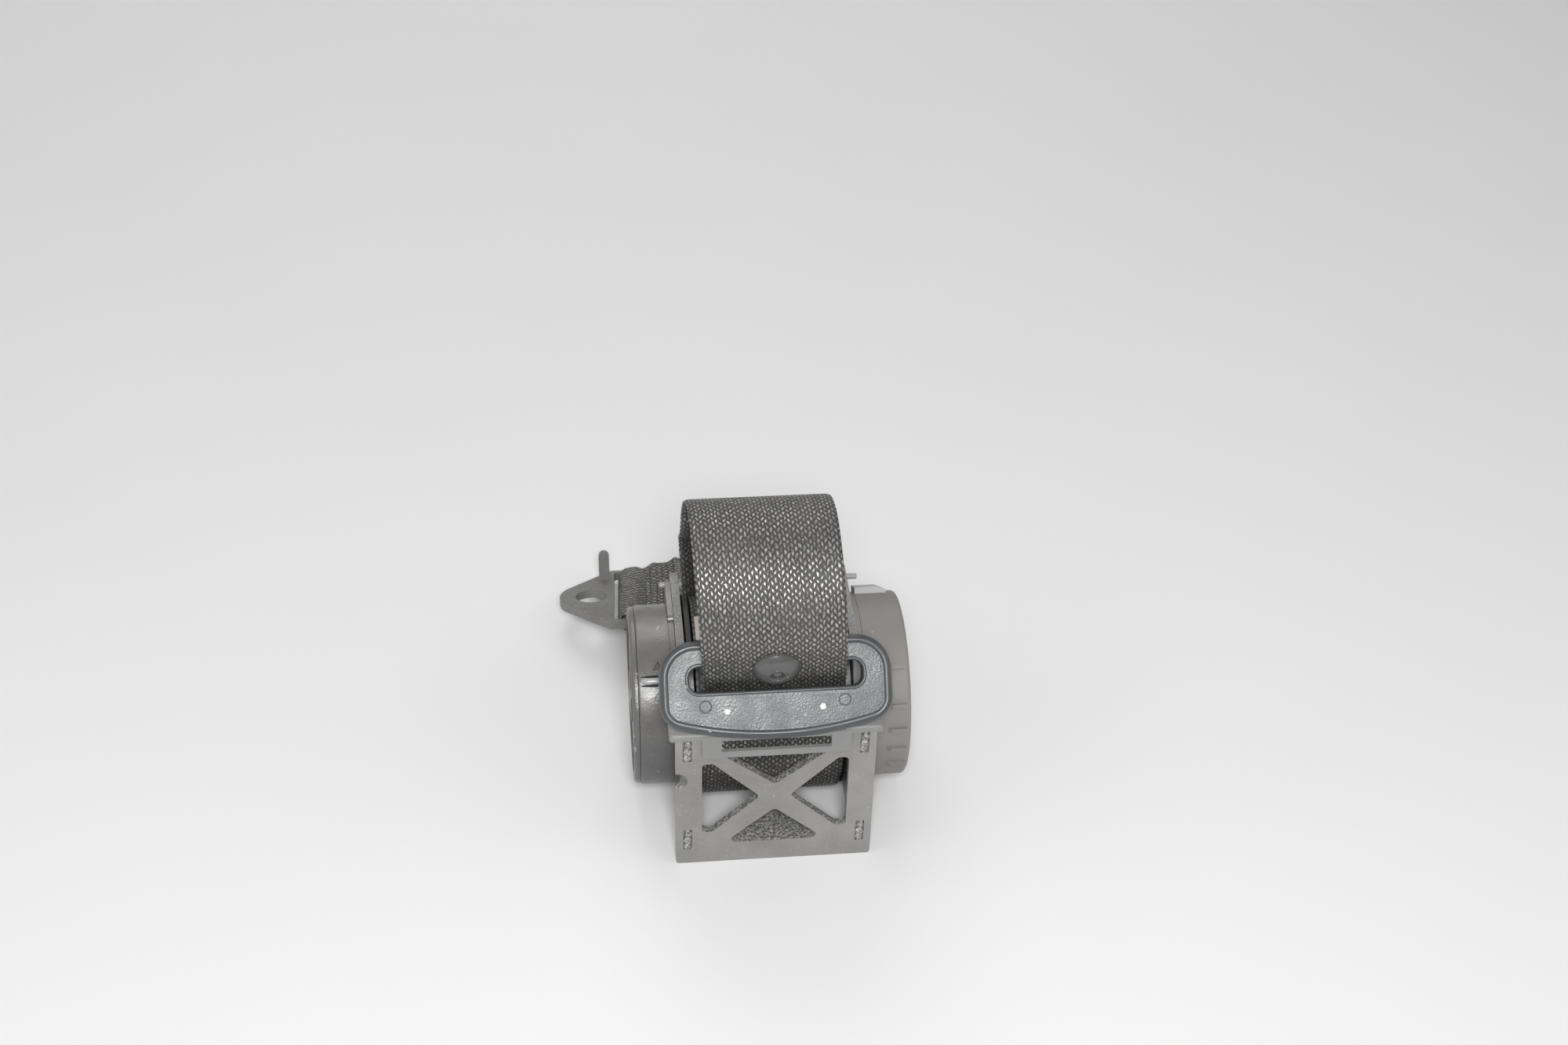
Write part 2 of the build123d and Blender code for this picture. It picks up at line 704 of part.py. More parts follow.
rim_w = 2.6
rim_h = 0.55
lip_w = 2.2
with BuildPart() as tongue_grip:
    with BuildSketch(tongue_plane):
        add(tongue_ring())
        with BuildLine():
            Polyline(
                (-19, tongue_top - 1),
                (-14, tongue_top + 4),
                (14, tongue_top + 4),
                (19, tongue_top - 1),
                close=True,
            )
        make_face()
        with Locations((0, tongue_slot_up)):
            RectangleRounded(tongue_slot_w, tongue_slot_h, 3.2, mode=Mode.SUBTRACT)
    extrude(amount=tongue_t / 2, both=True)
    fillet(tongue_grip.faces().filter_by(tongue_plane).edges(), 1.3)
    with BuildSketch(tongue_plane.offset(tongue_t / 2)):
        offset(tongue_ring(), -rim_w - 0.6)
        with Locations((0, tongue_slot_up)):
            RectangleRounded(
                tongue_slot_w + 2 * lip_w, tongue_slot_h + 2 * lip_w, 4.6, mode=Mode.SUBTRACT
            )
    extrude(amount=-rim_h, mode=Mode.SUBTRACT)
    with BuildSketch(tongue_plane):
        add(tongue_core(seat_gap / 2))
    extrude(amount=tongue_core_t / 2 + seat_gap / 2, both=True, mode=Mode.SUBTRACT)
save(tongue_grip, "tongue_grip")

# Stop button: a domed cap on the belt's face and a stem with a flat disc behind
button_face = web_t / 2 + fit_gap
with BuildPart() as stop_button:
    cap_plane = Plane(origin=button_plane.origin, x_dir=(1, 0, 0), z_dir=button_plane.y_dir)
    with BuildSketch(cap_plane):
        with BuildLine():
            cap_base = Line((button_stem_r + seat_gap, -button_face), (button_r, -button_face))
            cap_side = Line(cap_base @ 1, (button_r, -button_face - 0.9))
            cap_dome = ThreePointArc(
                cap_side @ 1,
                (button_r * 0.62, -button_face - button_h * 0.88),
                (2.6, -button_face - button_h),
            )
            cap_recess = Line(cap_dome @ 1, (2.2, -button_face - button_h + 0.9))
            cap_floor = Line(cap_recess @ 1, (button_stem_r + seat_gap, -button_face - button_h + 0.9))
            Line(cap_floor @ 1, cap_base @ 0)
        make_face()
    revolve(axis=Axis(button_plane.origin, button_plane.z_dir))
save(stop_button, "stop_button")

with BuildPart() as button_rivet:
    with BuildSketch(button_plane.offset(-button_face)):
        Circle(button_back_r)
    extrude(amount=-button_back_t)
    with BuildSketch(button_plane.offset(-button_face)):
        Circle(button_stem_r)
    extrude(amount=2 * button_face + button_h - 1.2)
save(button_rivet, "button_rivet")

# Left end: spring housing, clock spring on its arbor, drum cover and end lid
left_plate_x = -flange_outer_x - housing_t
with BuildPart() as spring_housing:
    with BuildSketch(spool_plane(left_plate_x + seat_gap)):
        Circle(left_cover_r)
        with Locations((12, 26)):
            RectangleRounded(20, 10, 2)
        Circle(stub_r + 1, mode=Mode.SUBTRACT)
        for angle in screw_angles:
            with Locations(polar(screw_circle_r, angle)):
                Circle(screw_r, mode=Mode.SUBTRACT)
        with Locations((pin_y - spool_y, pin_z - spool_z)):
            Circle(pin_r + seat_gap, mode=Mode.SUBTRACT)
    extrude(amount=housing_t - 2 * seat_gap)
save(spring_housing, "spring_housing")

arbor_r = 6.0
with BuildPart() as spring_arbor:
    with BuildSketch(spool_plane(-left_cover_x + 2.2)):
        Circle(arbor_r)
        Circle(bar_r + fit_gap, mode=Mode.SUBTRACT)
    extrude(amount=left_cover_x - 2.2 - flange_outer_x - housing_t - 0.6)
save(spring_arbor, "spring_arbor")

spring_turns = 7
spring_pitch = 2.4
spring_t = 0.7
spring_w = 5.0
spring_start_r = arbor_r + 1.6
with BuildPart() as clock_spring:
    with BuildSketch(spool_plane(-left_cover_x + 3.0)):
        with BuildLine():
            # Half circles about two centres, half a pitch apart, each a quarter pitch wider
            for half in range(2 * spring_turns):
                side = 1 if half % 2 == 0 else -1
                radius = spring_start_r + half * spring_pitch / 2
                CenterArc((-side * spring_pitch / 4, 0), radius, 0 if side > 0 else 180, 180)
            offset(amount=spring_t / 2, side=Side.BOTH)
        make_face()
    extrude(amount=spring_w)
save(clock_spring, "clock_spring")


def push_pins(x_start, reach, inward):
    """Plastic pins that hold an end housing to its flange, all on one circle."""
    with BuildPart() as pins:
        for angle in screw_angles:
            with BuildSketch(spool_plane(x_start)):
                with Locations(polar(screw_circle_r, angle)):
                    Circle(screw_r - fit_gap)
            extrude(amount=inward * reach)
            with BuildSketch(spool_plane(x_start)):
                with Locations(polar(screw_circle_r, angle)):
                    Circle(2.6)
            extrude(amount=-inward * 1.0)
    return pins


left_pins = push_pins(left_plate_x, housing_t + sheet_t - 0.4, 1)
save(left_pins, "spring_housing_pins")

rib_half_h = 1.0
rib_l = 6.0
left_rib_angle = 129.3
left_recess_angles = (120.5, 139.0)
with BuildPart() as spring_cover:
    with BuildSketch(spool_plane(-left_cover_x)):
        Circle(left_cover_r)
    extrude(amount=left_cover_x - flange_outer_x - housing_t)
    fillet(spring_cover.faces().sort_by(Axis.X)[0].edges(), 0.8)
    with BuildSketch(spool_plane(-left_cover_x)):
        Circle(left_cover_r - cover_wall)
    extrude(amount=left_cover_x - flange_outer_x - housing_t, mode=Mode.SUBTRACT)
    # Two snap recesses with a raised rib between them, on the upper front of the drum
    for angle in left_recess_angles:
        with BuildSketch(drum_plane(-left_cover_x + 6.6, left_cover_r, angle)):
            RegularPolygon(1.9, 3, rotation=90)
        extrude(amount=-1.1, mode=Mode.SUBTRACT)
    with BuildSketch(drum_plane(-left_cover_x + 1.2, left_cover_r - 1, left_rib_angle)):
        with Locations((rib_l / 2, 0)):
            SlotOverall(rib_l, 2 * rib_half_h)
    extrude(amount=1.5)
save(spring_cover, "spring_cover")

with BuildPart() as spring_lid:
    with BuildSketch(spool_plane(-left_cover_x - left_lid_t)):
        Circle(left_cover_r - 0.4)
    extrude(amount=left_lid_t - fit_gap)
    fillet(spring_lid.faces().sort_by(Axis.X)[0].edges(), 1.2)
    with BuildSketch(spool_plane(-left_cover_x - left_lid_t)):
        Circle(left_cover_r - 4)
        Circle(9, mode=Mode.SUBTRACT)
    extrude(amount=0.6, mode=Mode.SUBTRACT)
    with BuildSketch(spool_plane(-left_cover_x - fit_gap)):
        Circle(left_cover_r - cover_wall - seat_gap)
        Circle(left_cover_r - cover_wall - 1.6, mode=Mode.SUBTRACT)
    extrude(amount=2.0)
save(spring_lid, "spring_lid")

# Right end: lock wheel, pawl, inertia disc and the vehicle sensor, under the ribbed cover
lock_x = flange_outer_x + 0.7
lock_t = 3.2
tooth_count = 12
tooth_root_r = 15.5
tooth_tip_r = 19.0
tooth_face_angle = 300.0
with BuildPart() as lock_wheel:
    with BuildSketch(spool_plane(lock_x)):
        Circle(tooth_root_r)
        for tooth in range(tooth_count):
            start = tooth_face_angle + tooth * 360 / tooth_count
            with BuildLine():
                Polyline(
                    polar(tooth_root_r - 1.5, start),
                    polar(tooth_tip_r, start),
                    polar(tooth_tip_r, start + 2.5),
                    polar(tooth_root_r - 0.02, start + 27),
                    polar(tooth_root_r - 1.5, start + 27),
                    close=True,
                )
            make_face()
        Circle(bar_r + fit_gap, mode=Mode.SUBTRACT)
    extrude(amount=lock_t)
save(lock_wheel, "lock_wheel")

# The pawl is drawn engaged, its nose in a tooth gap, and turned back to its rest
pawl_swing = 14.5
pawl_nose_r = 16.9
pivot = Vector(*polar(pawl_pivot_r, pawl_pivot_angle))
nose = Vector(*polar(pawl_nose_r, tooth_face_angle - 1.0))
pawl_length = (nose - pivot).length
engaged_angle = degrees(atan2((nose - pivot).Y, (nose - pivot).X))
rest_angle = radians(engaged_angle - pawl_swing)
pawl_plane = Plane(
    origin=(lock_x + seat_gap, spool_y + pivot.X, spool_z + pivot.Y),
    x_dir=(0, cos(rest_angle), sin(rest_angle)),
    z_dir=(1, 0, 0),
)
pawl_boss_r = 3.4
with BuildPart() as lock_pawl:
    with BuildSketch(pawl_plane):
        with BuildLine():
            Polyline(
                (0, -pawl_boss_r),
                (pawl_length - 2.5, -pawl_boss_r),
                (pawl_length - 0.4, -2.2),
                (pawl_length + 0.1, 1.0),
                (0, 1.0),
                close=True,
            )
        make_face()
        Circle(pawl_boss_r)
        Circle(pawl_pin_r + fit_gap, mode=Mode.SUBTRACT)
    extrude(amount=lock_t - 2 * seat_gap)
save(lock_pawl, "lock_pawl")

with BuildPart() as pawl_pin:
    with BuildSketch(spool_plane(flange_inner_x + 0.2)):
        with Locations((pivot.X, pivot.Y)):
            Circle(pawl_pin_r - fit_gap)
    extrude(amount=lock_x + lock_t + 0.6 - flange_inner_x - 0.2)
    with BuildSketch(spool_plane(lock_x + lock_t + 0.2)):
        with Locations((pivot.X, pivot.Y)):
            Circle(pawl_pin_r + 0.9)
    extrude(amount=0.8)
save(pawl_pin, "pawl_pin")

right_plate_x = flange_outer_x + seat_gap
mech_r = 28.2
with BuildPart() as sensor_plate:
    with BuildSketch(spool_plane(right_plate_x)):
        Circle(right_cover_r)
        Circle(mech_r, mode=Mode.SUBTRACT)
        for angle in screw_angles:
            with Locations(polar(screw_circle_r, angle)):
                Circle(4.0)
        for angle in screw_angles:
            with Locations(polar(screw_circle_r, angle)):
                Circle(screw_r, mode=Mode.SUBTRACT)
        Circle(tooth_tip_r + 1.0, mode=Mode.SUBTRACT)
    extrude(amount=housing_t - 2 * seat_gap)
save(sensor_plate, "sensor_plate")

right_pins = push_pins(right_plate_x + housing_t - seat_gap, housing_t + sheet_t - 0.4, -1)
save(right_pins, "sensor_plate_pins")

disc_x = lock_x + lock_t + 1.6
inertia_t = 1.6
inertia_r = 13.5
inertia_swing = 10.0
with BuildPart() as inertia_disc:
    with BuildSketch(spool_plane(disc_x)):
        Circle(inertia_r)
        Circle(bar_r + fit_gap, mode=Mode.SUBTRACT)
        with PolarLocations(7.6, 5):
            Circle(1.5, mode=Mode.SUBTRACT)
        with PolarLocations(inertia_r, 24):
            Rectangle(1.6, 1.4, mode=Mode.SUBTRACT)
    extrude(amount=inertia_t)
    with BuildSketch(spool_plane(disc_x)):
        Circle(inertia_r - 1.4)
        Circle(inertia_r - 3.6, mode=Mode.SUBTRACT)
    extrude(amount=inertia_t + 1.6)
save(inertia_disc, "inertia_disc")

# Vehicle sensor, low at the front of the right end: a ball in a dished cup under a lever
sensor_y = spool_y - 6.5
sensor_cup_z = spool_z - 22.4
sensor_x = disc_x + 4.2
ball_r = 3.4
cup_w = 9.6
cup_depth = 6.4
cup_t = 2.8
dish_r = 10.0
dish_depth = 1.4
post_y = sensor_y - cup_w / 2 - 1.2
post_x = right_cover_x - cover_wall - seat_gap
lever_pivot_z = sensor_cup_z + 7.4
lever_pin_r = 0.7
with BuildPart() as sensor_cup:
    with Locations((post_x - 0.01, sensor_y, sensor_cup_z)):
        cup_l = post_x - sensor_x + cup_depth / 2
        Box(cup_l, cup_w, cup_t, align=(Align.MAX, Align.CENTER, Align.MAX))
    with Locations((sensor_x, sensor_y, sensor_cup_z - dish_depth + dish_r)):
        Sphere(dish_r, mode=Mode.SUBTRACT)
    # A post beside the ball carries the lever's pivot
    post_h = lever_pivot_z + 1.6 - sensor_cup_z + 1.0
    with Locations((post_x - 0.01, post_y, sensor_cup_z - 1.0)):
        Box(1.9, 2.42, post_h, align=(Align.MAX, Align.CENTER, Align.MIN))
    with BuildSketch(yz_plane(post_x - 2.5)):
        with Locations((post_y, lever_pivot_z)):
            Circle(lever_pin_r + fit_gap)
    extrude(amount=3.0, mode=Mode.SUBTRACT)
save(sensor_cup, "sensor_cup")

ball_centre_z = sensor_cup_z - dish_depth + ball_r + fit_gap
with BuildPart() as sensor_ball:
    with Locations((sensor_x, sensor_y, ball_centre_z)):
        Sphere(ball_r)
save(sensor_ball, "sensor_ball")

lever_bottom_z = ball_centre_z + ball_r + seat_gap
lever_x = sensor_x - 1.6
lever_w = 3.6
with BuildPart() as sensor_lever:
    with BuildSketch(yz_plane(lever_x)):
        with BuildLine():
            Polyline(
                (post_y - 1.3, lever_pivot_z - 1.3),
                (post_y - 1.3, lever_pivot_z + 1.0),
                (post_y + 1.3, lever_pivot_z + 1.3),
                (sensor_y + 3.8, lever_bottom_z + 1.2),
                (sensor_y + 5.6, lever_bottom_z + 1.9),
                (sensor_y + 6.2, lever_bottom_z + 1.2),
                (sensor_y + 4.4, lever_bottom_z),
                (sensor_y - 2.0, lever_bottom_z),
                (post_y + 1.3, lever_pivot_z - 1.3),
                close=True,
            )
        make_face()
    extrude(amount=lever_w)
    with BuildSketch(yz_plane(lever_x + lever_w)):
        with Locations((post_y, lever_pivot_z)):
            Circle(lever_pin_r)
    extrude(amount=post_x - 0.4 - lever_x - lever_w)
save(sensor_lever, "sensor_lever")

rib_angles = (128.5, 152.0, 167.5, 182.0, 197.0)
ramp_inset = 7.6
ramp_x = right_cover_x - ramp_inset
ramp_l = 6.0
ramp_h = 0.9
ramp_w = 1.4
with BuildPart() as sensor_cover:
    with BuildSketch(spool_plane(right_plate_x + housing_t - seat_gap)):
        Circle(right_cover_r)
    extrude(amount=right_cover_x - right_plate_x - housing_t + seat_gap)
    fillet(sensor_cover.faces().sort_by(Axis.X)[-1].edges(), 1.4)
    with BuildSketch(spool_plane(right_plate_x + housing_t - seat_gap)):
        Circle(right_cover_r - cover_wall)
    extrude(amount=right_cover_x - right_plate_x - housing_t + seat_gap - cover_wall, mode=Mode.SUBTRACT)
    # Ramped grip ribs round the front of the drum
    for angle in rib_angles:
        rib_side = Plane(
            origin=(0, spool_y, spool_z),
            x_dir=(1, 0, 0),
            z_dir=(0, -sin(radians(angle)), cos(radians(angle))),
        )
        with BuildSketch(rib_side.offset(-ramp_w / 2)):
            with BuildLine():
                Polyline(
                    (ramp_x, right_cover_r - 0.6),
                    (ramp_x, right_cover_r + 0.2),
                    (ramp_x + 1.2, right_cover_r + ramp_h),
                    (ramp_x + ramp_l, right_cover_r + ramp_h),
                    (ramp_x + ramp_l, right_cover_r - 0.6),
                    close=True,
                )
            make_face()
        extrude(amount=ramp_w)
save(sensor_cover, "sensor_cover")

# Flat clip pad on the top rear of the right drum
clip_inset = 2.36
clip_x = flange_outer_x + clip_inset
clip_l = 10.4
clip_w = 9.0
clip_h = 1.9
clip_angle = 54.0
with BuildPart() as cover_clip:
    with BuildSketch(drum_plane(clip_x + clip_l / 2, right_cover_r - 1, clip_angle)):
        Rectangle(clip_l, clip_w)
    extrude(amount=1 + clip_h)
    outward = drum_plane(clip_x, right_cover_r, clip_angle).z_dir
    outer_face = cover_clip.faces().sort_by(Axis((0, spool_y, spool_z), outward))[-1]
    chamfer(outer_face.edges().sort_by(Axis.X)[-1], 1.1, 2.6)
    with BuildSketch(spool_plane(clip_x - 1)):
        Circle(right_cover_r + fit_gap)
    extrude(amount=clip_l + 2, mode=Mode.SUBTRACT)
save(cover_clip, "cover_clip")
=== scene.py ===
from math import atan2, cos, degrees, hypot, pi, radians, sin, sqrt

import bmesh
import bpy
from mathutils import Euler, Matrix, Vector, noise


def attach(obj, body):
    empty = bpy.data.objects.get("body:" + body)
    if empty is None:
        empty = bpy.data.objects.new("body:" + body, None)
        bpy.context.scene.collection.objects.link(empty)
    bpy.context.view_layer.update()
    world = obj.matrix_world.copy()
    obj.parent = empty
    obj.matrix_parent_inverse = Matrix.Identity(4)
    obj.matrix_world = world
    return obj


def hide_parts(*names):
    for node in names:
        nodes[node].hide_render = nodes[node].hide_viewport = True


# Looks of the seat belt: the webbing as its own woven strap, the finish of every moulded and
# pressed part, and the studio. All is in the frame of the solids. Objects are in metres; shapes
# are worked out in millimetres and scaled by mm.

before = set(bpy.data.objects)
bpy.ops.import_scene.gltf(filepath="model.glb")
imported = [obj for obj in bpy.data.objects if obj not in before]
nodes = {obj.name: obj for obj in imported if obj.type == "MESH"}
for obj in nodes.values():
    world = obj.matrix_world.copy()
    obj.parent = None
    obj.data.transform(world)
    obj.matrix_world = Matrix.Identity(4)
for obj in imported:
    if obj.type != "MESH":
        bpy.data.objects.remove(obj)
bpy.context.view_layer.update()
mm = 0.001
right = Vector((1, 0, 0))

# The spool's axis, seen from the side
spool_y, spool_z = -49.0, 34.0


def add_camera():
    """Camera at the photograph's place and lens, found from the reel's plate."""
    data = bpy.data.cameras.new("camera")
    data.lens = 50.4
    data.sensor_width = 36.0
    camera = bpy.data.objects.new("camera", data)
    camera.location = (-0.05814, -0.58255, 0.53548)
    camera.rotation_euler = Euler((0.894502, -0.0239794, -0.0996414), "XYZ")
    bpy.context.collection.objects.link(camera)
    bpy.context.scene.camera = camera


def new_object(name, mesh):
    """Object of a mesh, linked to the scene and shaded smooth."""
    thing = bpy.data.objects.new(name, mesh)
    bpy.context.collection.objects.link(thing)
    for face in mesh.polygons:
        face.use_smooth = True
    return thing


def ring_mesh(name, rings, uv=None):
    """Quad mesh through rings of points, each closed on itself, with a uv pair for each point."""
    count = len(rings[0])
    points = [tuple(point) for ring in rings for point in ring]
    faces = []
    for row in range(len(rings) - 1):
        low, high = row * count, (row + 1) * count
        for i in range(count):
            j = (i + 1) % count
            faces.append((low + i, low + j, high + j, high + i))
    mesh = bpy.data.meshes.new(name)
    mesh.from_pydata(points, [], faces)
    if uv:
        layer = mesh.uv_layers.new(name="strap")
        flat = [pair for row in uv for pair in row]
        for loop in mesh.loops:
            layer.data[loop.index].uv = flat[loop.vertex_index]
    mesh.update()
    return mesh


# Materials
class Nodes:
    """Short way to build one material's node tree."""

    def __init__(self, name):
        self.material = bpy.data.materials.new(name)
        self.material.use_nodes = True
        self.tree = self.material.node_tree
        self.shader = self.tree.nodes["Principled BSDF"]

    def join(self, socket, value):
        """Link a socket to another one, or set it to a value."""
        if isinstance(value, bpy.types.NodeSocket):
            self.tree.links.new(value, socket)
        else:
            socket.default_value = value

    def add(self, kind, inputs=(), **settings):
        """New node, with its settings and then its inputs."""
        node = self.tree.nodes.new(kind)
        for key, value in settings.items():
            setattr(node, key, value)
        for key, value in dict(inputs).items():
            self.join(node.inputs[key], value)
        return node

    def math(self, operation, a, b=0.0):
        return self.add("ShaderNodeMath", {0: a, 1: b}, operation=operation).outputs[0]

    def place(self):
        """Position on the object at rest, in metres."""
        return self.add("ShaderNodeTexCoord").outputs["Object"]

    def facing(self, axis):
        """How far the surface looks along one axis, from -1 to 1."""
        normal = self.add("ShaderNodeNewGeometry").outputs["Normal"]
        return self.add("ShaderNodeSeparateXYZ", {0: normal}).outputs[axis]

    def noise(self, scale, detail, rough, vector=None):
        """Noise from 0 to 1, with scale cells to the metre."""
        inputs = {"Scale": scale, "Detail": detail, "Roughness": rough}
        inputs["Vector"] = vector or self.place()
        return self.add("ShaderNodeTexNoise", inputs).outputs["Fac"]

    def ramp(self, value, low, high, start, end):
        """Value mapped from low..high to start..end, held at both ends."""
        inputs = {"Value": value, "From Min": low, "From Max": high, "To Min": start, "To Max": end}
        return self.add("ShaderNodeMapRange", inputs).outputs["Result"]

    def mix(self, factor, first, second):
        """Colour from first to second."""
        inputs = {0: factor, 6: first, 7: second}
        return self.add("ShaderNodeMix", inputs, data_type="RGBA").outputs[2]

    def bump(self, height, distance, strength, normal=None):
        """Normal of a relief, distance in metres, laid over another normal if there is one."""
        inputs = {"Height": height, "Distance": distance, "Strength": strength}
        if normal:
            inputs["Normal"] = normal
        return self.add("ShaderNodeBump", inputs).outputs["Normal"]

    def feed(self, **sockets):
        """Link or set the shader's sockets, underscores standing for spaces."""
        for key, value in sockets.items():
            self.join(self.shader.inputs[key.replace("_", " ")], value)
        return self.material


def grey(level, warm=0.0):
    """Linear colour of an eye-level grey from 0 to 255, a little warmer or cooler."""
    def linear(c):
        c = max(c, 0.0) / 255
        return c / 12.92 if c <= 0.04045 else ((c + 0.055) / 1.055) ** 2.4

    return (linear(level + warm), linear(level), linear(level - warm), 1.0)


def pressed_steel(name, level, dust, grit=0.75):
    """Grey-coated pressed steel: cloudy flat faces, and cut edges and folds full of bright grit."""
    n = Nodes(name)
    place = n.place()
    cloud = n.noise(60, 5, 0.6, place)
    fine = n.noise(900, 3, 0.6, place)
    grain = n.noise(1150, 3, 0.7, place)
    # The plate's flat faces look along Y, and its cut edges don't
    edge = n.ramp(n.math("ABSOLUTE", n.facing("Y")), 0.5, 0.9, grit, 0.0)
    specks = n.ramp(n.noise(1500, 2, 0.5, place), 0.66, 0.72, 0.0, dust)
    lit_grit = n.math("MULTIPLY", n.ramp(grain, 0.52, 0.62, 0.0, 1.0), edge)
    dark_grit = n.math("MULTIPLY", n.ramp(grain, 0.48, 0.4, 0.0, 1.0), edge)
    base = n.mix(n.ramp(cloud, 0.3, 0.7, 0, 1), grey(level - 9, 1), grey(level + 9, 1))
    base = n.mix(dark_grit, base, grey(level - 75, 1))
    base = n.mix(n.math("MAXIMUM", specks, lit_grit), base, grey(225, 1))
    rough_grain = n.math("MULTIPLY", grain, n.ramp(edge, 0, 1, 0.15, 1.0))
    return n.feed(
        Base_Color=base,
        Metallic=0.25,
        Roughness=n.ramp(fine, 0.3, 0.7, 0.4, 0.6),
        Normal=n.bump(rough_grain, 0.0003, 0.7, n.bump(cloud, 0.0004, 0.2)),
    )


def staked_steel(name):
    """Hammered tenon ends: torn bright metal with dark pits."""
    n = Nodes(name)
    lumps = n.noise(1700, 3, 0.6)
    return n.feed(
        Base_Color=n.mix(n.ramp(lumps, 0.42, 0.6, 0, 1), grey(108, 1), grey(190, 1)),
        Metallic=0.4,
        Roughness=0.45,
        Normal=n.bump(lumps, 0.0003, 0.7),
    )


def moulded(name, level, warm=1.0, rough=0.5, pebble=0.00003, dust=0.3, dust_and_top_light_tone=(150, 8),
            scale=1800, sparkle=0.0, gloss=0.5):
    """Moulded plastic: fine pebbled skin, uneven gloss, dust and painted top light on what faces up,
    as much as dust, and bright specks.
    """
    n = Nodes(name)
    place = n.place()
    cloud = n.noise(45, 4, 0.55, place)
    skin = n.noise(scale, 2, 0.5, place)
    # Faces that look up turn lighter in cloudy patches: partly dust, partly painted top light
    upward = n.ramp(n.facing("Z"), 0.1, 0.9, 0, 1)
    patchy = n.ramp(cloud, 0.3, 0.7, 0.3, 1.0)
    dust_and_top_light = n.ramp(n.math("MULTIPLY", upward, patchy), 0, 1, 0, dust)
    base = n.mix(n.ramp(cloud, 0.3, 0.7, 0, 1), grey(level - 6, warm), grey(level + 6, warm))
    # Painted glints: the peaks of the pebbled skin turn lighter, by as much as sparkle
    base = n.mix(n.ramp(skin, 0.6, 0.8, 0.0, sparkle), base, grey(level + 75, warm))
    base = n.mix(dust_and_top_light, base, grey(*dust_and_top_light_tone))
    specks = n.ramp(n.noise(420, 1, 0.4, place), 0.76, 0.79, 0.0, 0.5)
    return n.feed(
        Base_Color=n.mix(specks, base, grey(190, 6)),
        Roughness=n.ramp(n.noise(140, 3, 0.5, place), 0.3, 0.7, rough - 0.08, rough + 0.1),
        Normal=n.bump(skin, pebble, 0.8),
        Specular_IOR_Level=gloss,
    )


def metal(name, level, rough):
    """Bare steel or cast alloy with fine scratches."""
    n = Nodes(name)
    place = n.place()
    return n.feed(
        Base_Color=n.mix(n.noise(300, 4, 0.6, place), grey(level - 20), grey(level + 15)),
        Metallic=1.0,
        Roughness=n.ramp(n.noise(700, 4, 0.6, place), 0.3, 0.7, rough - 0.08, rough + 0.14),
        Normal=n.bump(n.noise(1500, 3, 0.6, place), 0.00002, 0.5),
    )


def woven(name, level, glint):
    """Ribbed belt webbing: staggered slanting yarn floats with glossy tops carrying painted glints,
    and painted shade in the gaps.
    """
    n = Nodes(name)
    uv = n.add("ShaderNodeUVMap", uv_map="strap").outputs["UV"]
    parts = n.add("ShaderNodeSeparateXYZ", {0: uv})
    along, across = parts.outputs["X"], parts.outputs["Y"]
    float_w, float_l = 1.2, 2.3
    # Whole columns and rows that are added to keep both counts above zero
    more_columns, more_rows = 100.0, 10.0
    # Each column of warp floats starts half a float behind the next and slants the other way
    loose = n.ramp(n.noise(300, 2, 0.5), 0.3, 0.7, -0.2, 0.2)
    column = n.math("ADD", n.math("DIVIDE", across, float_w), n.math("ADD", loose, more_columns))
    odd = n.math("MODULO", n.math("FLOOR", column), 2.0)
    u = n.math("FRACT", column)
    slant = n.math("MULTIPLY", n.math("SUBTRACT", u, 0.5), n.ramp(odd, 0, 1, 0.35, -0.35))
    jitter = n.ramp(n.noise(380, 2, 0.5), 0.3, 0.7, -0.16, 0.16)
    row = n.math("ADD", n.math("DIVIDE", along, float_l), n.math("MULTIPLY", odd, 0.5))
    row = n.math("ADD", n.math("ADD", row, slant), n.math("ADD", jitter, more_rows))
    hump_u = n.math("SINE", n.math("MULTIPLY", u, pi))
    hump_v = n.math("SINE", n.math("MULTIPLY", n.math("FRACT", row), pi))
    relief = n.math("MULTIPLY", n.math("POWER", hump_u, 0.6), n.math("POWER", hump_v, 1.2))
    tops = n.ramp(relief, 0.5, 0.95, 0.0, 1.0)
    # Painted glints: float tops turn lighter towards the glint grey, in patches
    glint_patches = n.ramp(n.noise(620, 3, 0.6), 0.38, 0.62, 0.15, 1.0)
    cloud = n.noise(60, 4, 0.6)
    # Painted shade: darker where the relief is low, in the gaps between floats
    base = n.mix(n.ramp(relief, 0.1, 0.85, 0.0, 1.0), grey(level - 50, 1), grey(level + 6, 1))
    base = n.mix(n.ramp(cloud, 0.35, 0.75, 0.0, 0.35), base, grey(level + 12, 2))
    return n.feed(
        Base_Color=n.mix(n.math("MULTIPLY", tops, glint_patches), base, grey(glint, 3)),
        Metallic=n.ramp(tops, 0, 1, 0.0, 0.75),
        Roughness=n.ramp(tops, 0, 1, 0.54, 0.38),
        Normal=n.bump(relief, 0.00026, 0.8),
        Specular_IOR_Level=1.0,
    )


